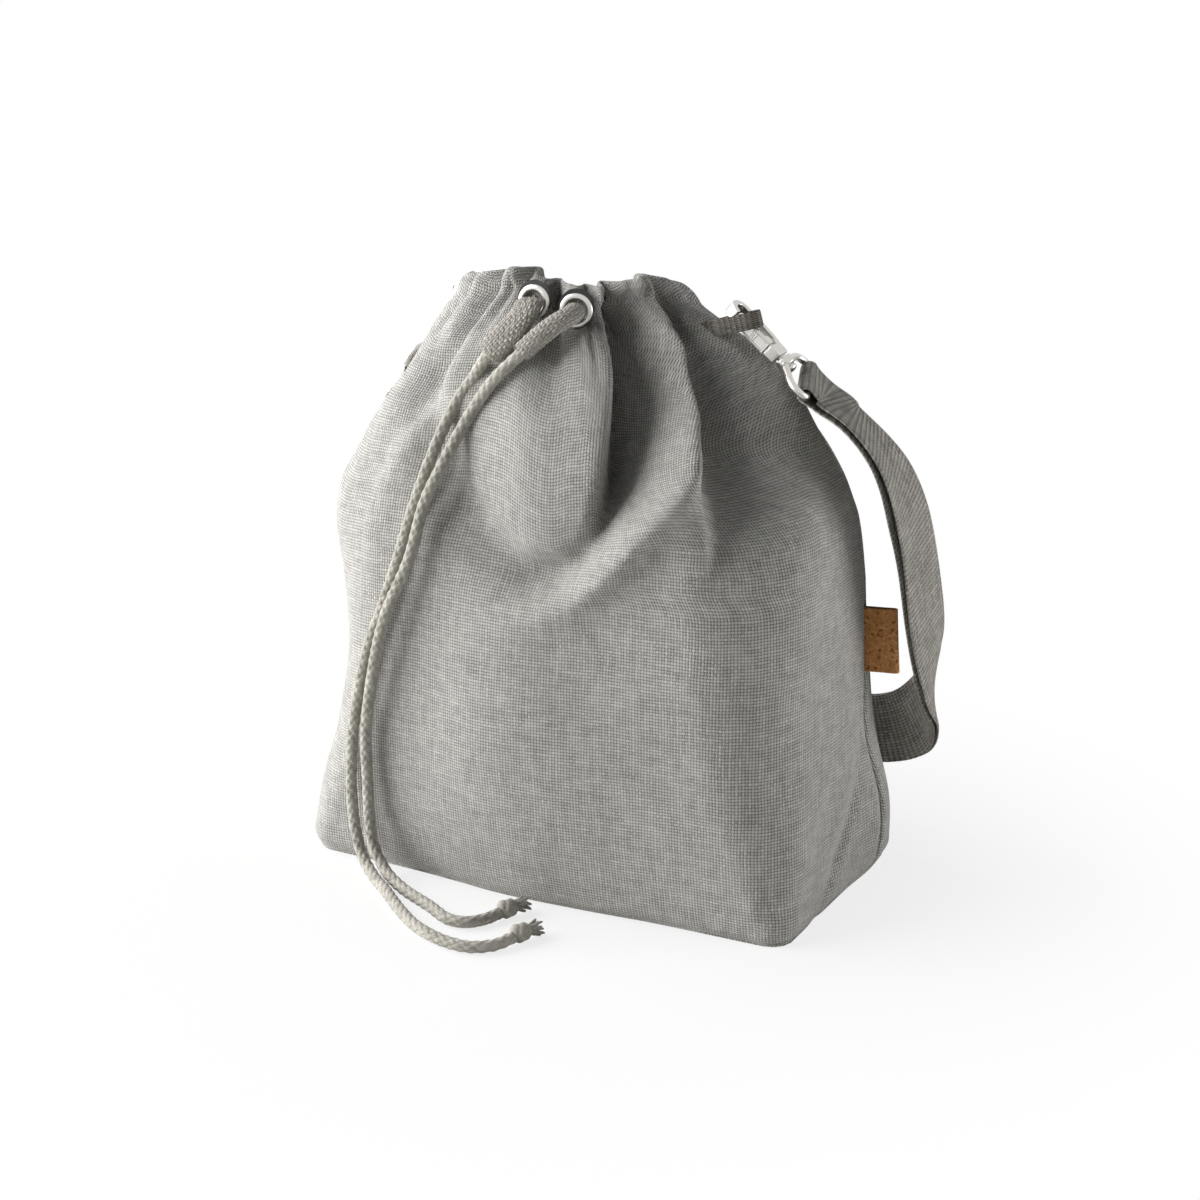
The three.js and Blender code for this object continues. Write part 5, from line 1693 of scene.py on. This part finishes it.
@dataclass
class Rig:
    """One end of the strap: a tab of tape, a snap hook on it, a swivel and its ring."""

    side: str
    root: Triple  # where the tab leaves the cloth
    turn: float  # degrees round the bag
    tilt: float  # degrees of droop
    depth: float  # of the tab's root in the cloth
    down: Array  # from the swivel to the strap, in the rig's own frame
    wide: Array  # along the ring's bar
    length: float = 28.0  # hook, from its nose to the swivel
    half: float = 5.2  # half width of the hook
    stock: float = 2.4  # its metal, seen flat
    ply: float = 4.6  # its thickness
    gate_ply: float = 1.7
    gate_width: float = 5.4
    bar: float = 3.0
    ring_half: float = 17.3
    ring_length: float = 11.5
    tape_width: float = 6.5
    tape_ply: float = 1.1
    tape_reach: float = 19.2
    tape_arm: float = 4.4  # half the gap between the two runs of the tab
    rib: float = 1.15  # between the ribs of the tape

    def __post_init__(self) -> None:
        """Works out where the rig stands and how its ring hangs."""
        a, b = math.radians(self.turn), math.radians(self.tilt)
        turned = np.array([[math.cos(a), -math.sin(a), 0], [math.sin(a), math.cos(a), 0], [0, 0, 1]])
        tilted = np.array([[math.cos(b), 0, math.sin(b)], [0, 1, 0], [-math.sin(b), 0, math.cos(b)]])
        self.place = frame_of(list((turned @ tilted).T), np.array(self.root))
        self.down = unit(self.down)
        self.wide = unit(self.wide - self.down * (self.wide @ self.down))
        self.pin = self.length - 7.4
        self.crown = self.length + 2.8

    def world(self, point: Array) -> Array:
        """Carries a point of the rig into the scene."""
        return self.heading(point) + self.place[:3, 3]

    def heading(self, way: Array) -> Array:
        """Carries a direction of the rig into the scene."""
        return way @ self.place[:3, :3].T

    def bar_line(self) -> tuple[Array, Array, Array]:
        """Gives the middle of the ring's bar, the way down the strap and the way along the bar."""
        middle = self.world(along(self.crown) + self.down * self.ring_length)
        return middle, self.heading(self.down), self.heading(self.wide)

    def finish(self, skin: Skin, name: str, body: str, node: str, round_edges: float = 0.0) -> None:
        """Stands a metal piece in the rig, with its edges rounded.

        Args:
            skin: Its mesh in the rig's own frame.
            name: The piece's name without the side.
            body: The body that carries it, without the side unless it is the strap.
            node: The solid that it replaces, without the side.
            round_edges: Radius of its edges.
        """
        piece = skin.move(self.place).build(f"{name}_{self.side}", NICKEL, 32)
        if round_edges:
            bevel(piece, round_edges)
        carrier = body if body == "strap" else f"{body}_{self.side}"
        settle(piece, carrier, [f"{node}_{self.side}"])

    def hook(self) -> None:
        """Makes the cast hook: nose, back and the block that holds pin and swivel."""
        half, stock, pin, heel = self.half, self.stock, self.pin, self.length - 1.4
        outer_nose = arc((5, 0), (5, half), -90, -270, 20)
        inner_nose = arc((5, 0), (5 - stock, half - stock), 90, 270, 16)
        block = [(pin - 1.6, half), (pin + 3.4, half - 1), (heel, half - 1),
                 *arc((heel, half - 2.4), (1.4, 1.4), 80, 0, 4),
                 *arc((heel, 2 - half), (1.4, 1.4), 0, -80, 4),
                 (pin + 2.4, 0.6 - half), (pin + 2.3, 1.2), (pin - 0.1, half - stock)]
        outline = [(5.4, -half), *outer_nose, *block, *inner_nose, (5.4, stock - half)]
        skin = Skin().pressed(outline[::-1], self.ply)
        skin.pressed(box(pin - 1.7, pin + 3, -3.3, -0.9, 0.6), 2.2)
        skin.move(frame_of([AXIS, ACROSS, FLAT], NOSE))
        self.finish(skin, "cast_hook", "hook", "hook_body", 0.75)

    def gate(self) -> None:
        """Makes the sprung gate: a plate with two raised edges, cheeks and a thumb rest."""
        face, pin, half = self.half + 0.1, self.pin, self.gate_width / 2
        skin = Skin().pressed(box(5.9, pin + 1.8, -half, half, 1.1), self.gate_ply - 0.5,
                              face - self.gate_ply / 2 - 0.2)
        for edge in (-1, 1):
            line = [(s, edge * (half - 0.55), face - 0.42) for s in np.linspace(6.9, pin + 0.8, 10)]
            skin.tube(np.array(line), 0.42, sides=8)
        for s in (14.6, 15.6, 16.6):
            line = [(s, z, face - 0.36) for z in np.linspace(-1.5, 1.5, 5)]
            skin.tube(np.array(line), 0.32, sides=8)
        skin.move(frame_of([AXIS, FLAT, -ACROSS], NOSE))
        cheek = [(pin - 2, 0.5 - face), (pin + 1.8, 0.5 - face), *arc((pin, -2.4), (1.8, 1.5), 0, 180, 10)]
        cheeks = Skin()
        for edge in (-1, 1):
            cheeks.pressed(cheek, 1.15, edge * (half - 0.6))
        skin.join(cheeks.move(frame_of([AXIS, ACROSS, FLAT], NOSE)))
        self.finish(skin, "sprung_gate", "gate", "hook_gate", 0.28)

    @staticmethod
    def turned(profile: Knots) -> Skin:
        """Turns a profile of distance along the hook and radius round the hook's axis."""
        return Skin().lathe(profile, NOSE, (ACROSS, FLAT, AXIS), 40, caps=True, flip=True)

    def pins(self) -> None:
        """Makes the gate's rivet and the swivel's post with its domed head."""
        reach = (self.gate_width + 0.2) / 2
        line = np.array([along(self.pin, -2.1, t * reach) for t in (-1, -0.97, -0.9, 0.9, 0.97, 1)])
        rivet = Skin().tube(line, np.array([0.35, 0.62, 0.7, 0.7, 0.62, 0.35]), AXIS, 20)
        self.finish(rivet, "gate_rivet", "hook", "hook_gate_pin")
        head = self.length + 5.2
        dome = [(head + 0.75 + 1.25 * math.sin(a), 0.2 + 2.4 * math.cos(a)) for a in np.linspace(0, 1.5, 8)]
        stem = [(self.length - 2.6, 1.5), (head - 0.02, 1.5), (head, 2.35), (head + 0.25, 2.6)]
        self.finish(self.turned([*stem, *dome]), "swivel_pin", "hook", "swivel_post")

    def ring(self) -> None:
        """Makes the bent ring and the boss that it turns on."""
        half, length = self.ring_half, self.ring_length
        shape = [(0, 0), (0.3, 4), (2, 9.5), (4.4, half - 2), (7.4, half), (10.2, half - 0.1),
                 (length, half - 1.5), (length, half / 2)]
        loop = [*shape, (length, 0), *[(s, -w) for s, w in shape[:0:-1]]]
        local = [along(self.crown) + self.down * s + self.wide * w for s, w in loop]
        dense = 14
        path = Path([*local[-3:], *local, *local[:4]], dense)
        first = int(np.argmin(np.linalg.norm(path.points[:60] - local[0], axis=1)))
        line = path.points[first : first + dense * len(local)]
        proud = np.cross(self.wide, self.down)
        side = np.cross(unit(np.roll(line, -1, 0) - np.roll(line, 1, 0)), proud)
        tube = line[:, None] + self.bar / 2 * ring_of(full_turn(22), side, proud)
        skin = Skin().grid(np.concatenate([tube, tube[:1]]), wrap=True)
        edge = [(0.5 * math.sin(a) + 1.3, 2.9 + 0.5 * math.cos(a)) for a in np.linspace(1.5, 0, 5)]
        boss = [(self.crown - s, r) for s, r in edge] + [(self.crown + s, r) for s, r in edge[::-1]]
        self.finish(skin.join(self.turned(boss)), "ring_and_boss", "strap", "swivel_ring")

    def tab(self) -> None:
        """Makes the ribbed tape that comes out of the seam, round the gate and back."""
        arm = self.tape_arm
        nose = self.tape_reach - arm
        leg = [(-self.depth * 0.72, 0.62), (-1, 0.75), (0.8, 1.5),
               (3.6, arm - 0.3), (8, arm), (nose - 1, arm)]
        bend = arc((nose, 0), (arm - self.tape_ply / 2, arm), 90, -90, 13)
        line = [*leg, *bend, *[(q, -y) for q, y in leg[::-1]]]
        path = Path([TAPE_OUT * q + ACROSS * y for q, y in line], 10)
        s = np.arange(0, path.length, 0.35)
        angle = full_turn(24)
        across = (self.tape_width / 2 - 0.05) * blunt(np.cos(angle), 0.35)
        rib = 0.84 + 0.18 * np.abs(np.sin(s * math.pi / self.rib))
        thick = self.tape_ply / 2 * blunt(np.sin(angle), 0.5) * rib[:, None]
        p = sweep(path.at(s), TAPE_WIDE, np.cross(TAPE_WIDE, path.tangent(s)), across, thick)
        skin = Skin().grid(p, wrap=True, caps=True).move(self.place)
        piece = skin.build(f"tab_tape_{self.side}", GROSGRAIN, 60)
        start, end = (self.world(TAPE_OUT * reach) * MM for reach in (-1.5, 3.0))
        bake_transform(piece)
        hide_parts(f"tab_loop_{self.side}", f"tab_root_{self.side}")
        log.info("made %s", piece.name)

    def build(self) -> None:
        """Makes the whole rig."""
        self.tab()
        self.hook()
        self.gate()
        self.pins()
        self.ring()


RIGHT_RIG = Rig("right", root=(52, -5.9, 227), turn=0, tilt=0, depth=9,
                down=np.array([0.673, 0.343, -0.656]), wide=np.array([-0.33, 0.93, 0.15]))
LEFT_RIG = Rig("left", root=(-57, 9.3, 228.8), turn=165, tilt=17, depth=4, down=AXIS, wide=-ACROSS)

# The strap's middle line between the rings, left to right, behind the bag
STRAP_BACK = (78.0, 44.0)  # depth and height of its level stretch
STRAP_ROUTE = (
    (-101, 19.5, 183.5), (-110.5, 22.5, 170), (-113.5, 35, 147), (-113.5, 50, 118), (-103, 64, 88),
    (-86, 74, 62), (-66, 77.6, 46), *[(x, *STRAP_BACK) for x in (-44, -22, 0, 22, 44, 62, 78)],
    (95, 77, 45.5), (109.5, 73, 52.5), (119, 65, 67), (122.5, 54.5, 85), (123.5, 40.5, 114),
    (122, 25, 152.8), (116.2, 12.5, 177.5), (104, 4, 195.4),
)


@dataclass
class Strap:
    """The webbing strap: one ply from ring to ring, doubled back to a three-bar slider."""

    left: Rig
    right: Rig
    width: float = 30.0
    ply: float = 1.5
    parting: float = 0.4  # between two plies that lie together
    fold: float = 25.0  # sewn back at the left ring
    clearance: float = 0.35
    rib: float = 2.3  # between the ribs of the webbing
    lean: Triple = (0.28, 0.9, 0.0)  # turn of the width where the strap rises
    sag: Triple = (1.5, 62.0, 30.0)  # of the inner ply: depth, place and spread
    stitch_half: float = 11.5
    fixed_x: float = 62.0  # where the doubled ply starts to run free towards the slider
    slider_x: float = 20.0
    slider_bar: float = 2.4
    slider_half: float = 9.3
    slider_pitch: float = 8.0

    def __post_init__(self) -> None:
        """Lays the middle line between the two rings."""
        self.ends = [self.left.bar_line(), self.right.bar_line()]
        (a, down_a, _), (b, down_b, _) = self.ends
        self.path = Path([a, a + down_a * 8, *STRAP_ROUTE, b + down_b * 8, b], 16)
        self.end = self.path.length
        self.off = (self.ply + self.parting) / 2
        self.wrap = self.left.bar / 2 + 2 * self.clearance + self.ply / 2

    def stand(self, s: Array) -> tuple[Array, Array, Array, Array]:
        """Gives the middle line at distances along it.

        Args:
            s: Distances from the left ring.

        Returns:
            Points, directions of travel, directions of the width and directions away from the bag.
        """
        at, tangent = self.path.at(s), self.path.tangent(s)
        left = (1 - smooth(s, 20, 150))[:, None]
        right = smooth(s, self.end - 180, self.end - 25)[:, None]
        rising = smooth(s, self.end - 165, self.end - 100) * (1 - smooth(s, self.end - 80, self.end - 20))
        backward = [bar * math.copysign(1, bar[1]) for _, _, bar in self.ends]
        wide = UP * (1 - left - right) + backward[0] * left + backward[1] * right
        wide = wide + np.array(self.lean) * rising[:, None]
        wide = unit(wide - tangent * np.sum(wide * tangent, -1, keepdims=True))
        return at, tangent, wide, np.cross(wide, tangent)

    def run(self, start: float, end: float, layer: int) -> tuple[Array, Array]:
        """Follows one ply.

        Args:
            start: Distance from the left ring where it starts.
            end: Distance where it ends.
            layer: 1 for the outer ply, -1 for the one next to the bag.

        Returns:
            Its points and the directions of its width.
        """
        s = np.linspace(start, end, max(3, int(abs(end - start) / 0.75)))
        at, _, wide, out = self.stand(s)
        near = np.maximum(np.minimum(s, self.end - s), 0)
        off = layer * (self.off + (self.wrap - self.off) * np.exp(-near / 7))
        if layer < 0:
            depth, place, spread = self.sag
            off = off - depth * np.exp(-(((self.end - s - place) / spread) ** 2))
        return at + out * off[:, None], wide

    def bend(self, s: float, first: int, sign: int) -> tuple[Array, Array]:
        """Turns half round a ring's bar, from one ply to the other.

        Args:
            s: Distance of the bar from the left ring.
            first: Layer that it starts from, 1 or -1.
            sign: 1 at the right ring, -1 at the left.

        Returns:
            Points and directions of the width.
        """
        at, tangent, wide, out = self.stand(np.array([s]))
        angle = np.linspace(0, math.pi, 14)[1:-1, None]
        radial = out * first * np.cos(angle) + tangent * sign * np.sin(angle)
        return at + radial * self.wrap, np.repeat(wide, len(angle), 0)

    def strip(self, at: Array, wide: Array) -> Skin:
        """Weaves a strip of webbing along a line, thin at its rolled selvedges.

        Args:
            at: Points of its middle.
            wide: Directions of its width.

        Returns:
            The mesh.
        """
        ahead = unit(np.gradient(at, axis=0))
        s = marks_along(at)
        angle = full_turn(40)
        across = blunt(np.cos(angle), 0.28)
        selvedge = np.exp(-(((1 - np.abs(across)) / 0.05) ** 2))
        thick = blunt(np.sin(angle), 0.42) * (1 - 0.22 * selvedge)
        half = self.width / 2 - 0.15 + 0.12 * np.abs(np.sin(s * math.pi / self.rib))
        p = sweep(at, wide, unit(np.cross(wide, ahead)), half[:, None] * across, self.ply / 2 * thick)
        round_it = marks_along(np.column_stack([across * self.width / 2, thick * 0.5]))
        uv = np.stack(np.meshgrid(np.append(round_it, round_it[-1] + 1.0), s), -1)
        return Skin().grid(p, uv, wrap=True, caps=True)

    def stitch_line(self, skin: Skin, start: Array, end: Array, out: Array, pitch: float = 2.4) -> None:
        """Sews a straight row of stitches.

        Args:
            skin: The mesh that they are added to.
            start: First needle hole.
            end: Last needle hole.
            out: Direction out of the cloth.
            pitch: Distance between needle holes.
        """
        count = max(1, int(round(np.linalg.norm(end - start) / pitch)))
        holes = np.linspace(start, end, count + 1)
        f = np.linspace(0.06, 0.94, 6)[:, None]
        for a, b in zip(holes[:-1], holes[1:]):
            line = a + (b - a) * f + out * (0.26 * np.sin(f * math.pi) - 0.08)
            skin.tube(line, 0.2, out, 6)

    def sewn_end(self) -> None:
        """Sews the short fold at the left ring with a box of stitches."""
        skin = Skin()
        at, wide = self.run(self.fold - 2.5, self.fold - 12.5, 1)
        out = unit(np.cross(wide, np.gradient(at, axis=0)))
        inner = self.run(self.fold - 2.5, self.fold - 4, -1)[0][0]
        out = out * math.copysign(1, out[0] @ (at[0] - inner))
        lift = self.ply / 2 + 0.1
        corner = [at[k] + wide[k] * e * self.stitch_half + out[k] * lift for k in (0, -1) for e in (-1, 1)]
        for a, b in ((0, 1), (1, 3), (3, 2), (2, 0), (0, 3), (1, 2)):
            self.stitch_line(skin, corner[a], corner[b], out[0])
        settle(skin.build("strap_box_stitch", THREAD, 60), "strap", [])

    def webbing(self) -> None:
        """Makes the long strip and the free ply that slides to the slider."""
        end = self.end
        marks = np.linspace(end / 2, end, 2000)
        split = float(marks[np.argmax(self.path.at(marks)[:, 0] > self.fixed_x)])
        runs = [self.run(self.fold, 0, 1), self.bend(0, 1, -1), self.run(0, end, -1), self.bend(end, -1, 1),
                self.run(end, split, 1)]
        at, wide = (np.concatenate([r[k] for r in runs]) for k in (0, 1))
        strip = self.strip(at, wide).build("strap_of_webbing", WEBBING, 60)
        settle(strip, "strap", ["strap_webbing"])
        y, z = STRAP_BACK
        x = np.arange(self.fixed_x + 0.6, self.slider_x + 3, -0.7)
        at = np.column_stack([x, np.full_like(x, y + self.off), np.full_like(x, z)])
        free = self.strip(at, np.tile(UP, (len(x), 1))).build("sliding_ply", WEBBING, 60)
        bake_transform(free)
        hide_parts("strap_adjust_run")
        log.info("made %s", free.name)

    def slider(self) -> None:
        """Makes the three-bar slider and the loop of webbing sewn round its middle bar."""
        y, z = STRAP_BACK
        ply_y = y + self.off
        loop_r = 0.75 * self.slider_bar + self.clearance + self.ply / 2
        bar_y = ply_y + loop_r
        turn = arc((0, bar_y), (loop_r, loop_r), 270, 90, 16)
        line = [(3, ply_y), (1.5, ply_y), *turn, (1.5, bar_y + loop_r), (3, bar_y + loop_r)]
        at = np.array([(self.slider_x + x, q, z) for x, q in line])
        loop = self.strip(at, np.tile(UP, (len(at), 1))).build("slider_loop", WEBBING, 60)
        settle(loop, "slider", ["slider_anchor_loop"])
        back = y - self.off - self.ply / 2 - self.clearance - self.slider_bar
        rail = self.width / 2 + 0.8
        skin = Skin()
        front = bar_y + self.slider_bar / 2
        for low in (rail, -rail - 2):
            skin.pressed(box(-self.slider_half, self.slider_half, back, front, 1.0), 2.0, low + 1)
        half = self.slider_bar / 2
        for x, depth in ((-self.slider_pitch, back), (self.slider_pitch, back), (0, bar_y - half)):
            skin.pressed(box(x - half, x + half, depth, depth + self.slider_bar, 0.5), 2 * rail + 2)
        skin.move(frame_of(list(np.eye(3)), np.array([self.slider_x, 0, z])))
        piece = skin.build("three_bar_slider", NICKEL, 32)
        bevel(piece, 0.35)
        settle(piece, "slider", ["strap_slider"])

    def build(self) -> None:
        """Makes the strap."""
        self.webbing()
        self.sewn_end()
        self.slider()


def main() -> None:
    """Builds the bag, piece by piece."""
    logging.basicConfig(level=logging.INFO, format="%(name)s: %(message)s")
    Studio().build()
    Drawcord("left", LEFT_TAIL, 0, SleeveShape.FLAT).build()
    Drawcord("right", RIGHT_TAIL, 1, SleeveShape.ROUND).build()
    BagShell().build()
    Eyelets().build()
    CorkLabel().build()
    for rig in (LEFT_RIG, RIGHT_RIG):
        rig.build()
    Strap(LEFT_RIG, RIGHT_RIG).build()


if __name__ == "__main__":
    main()
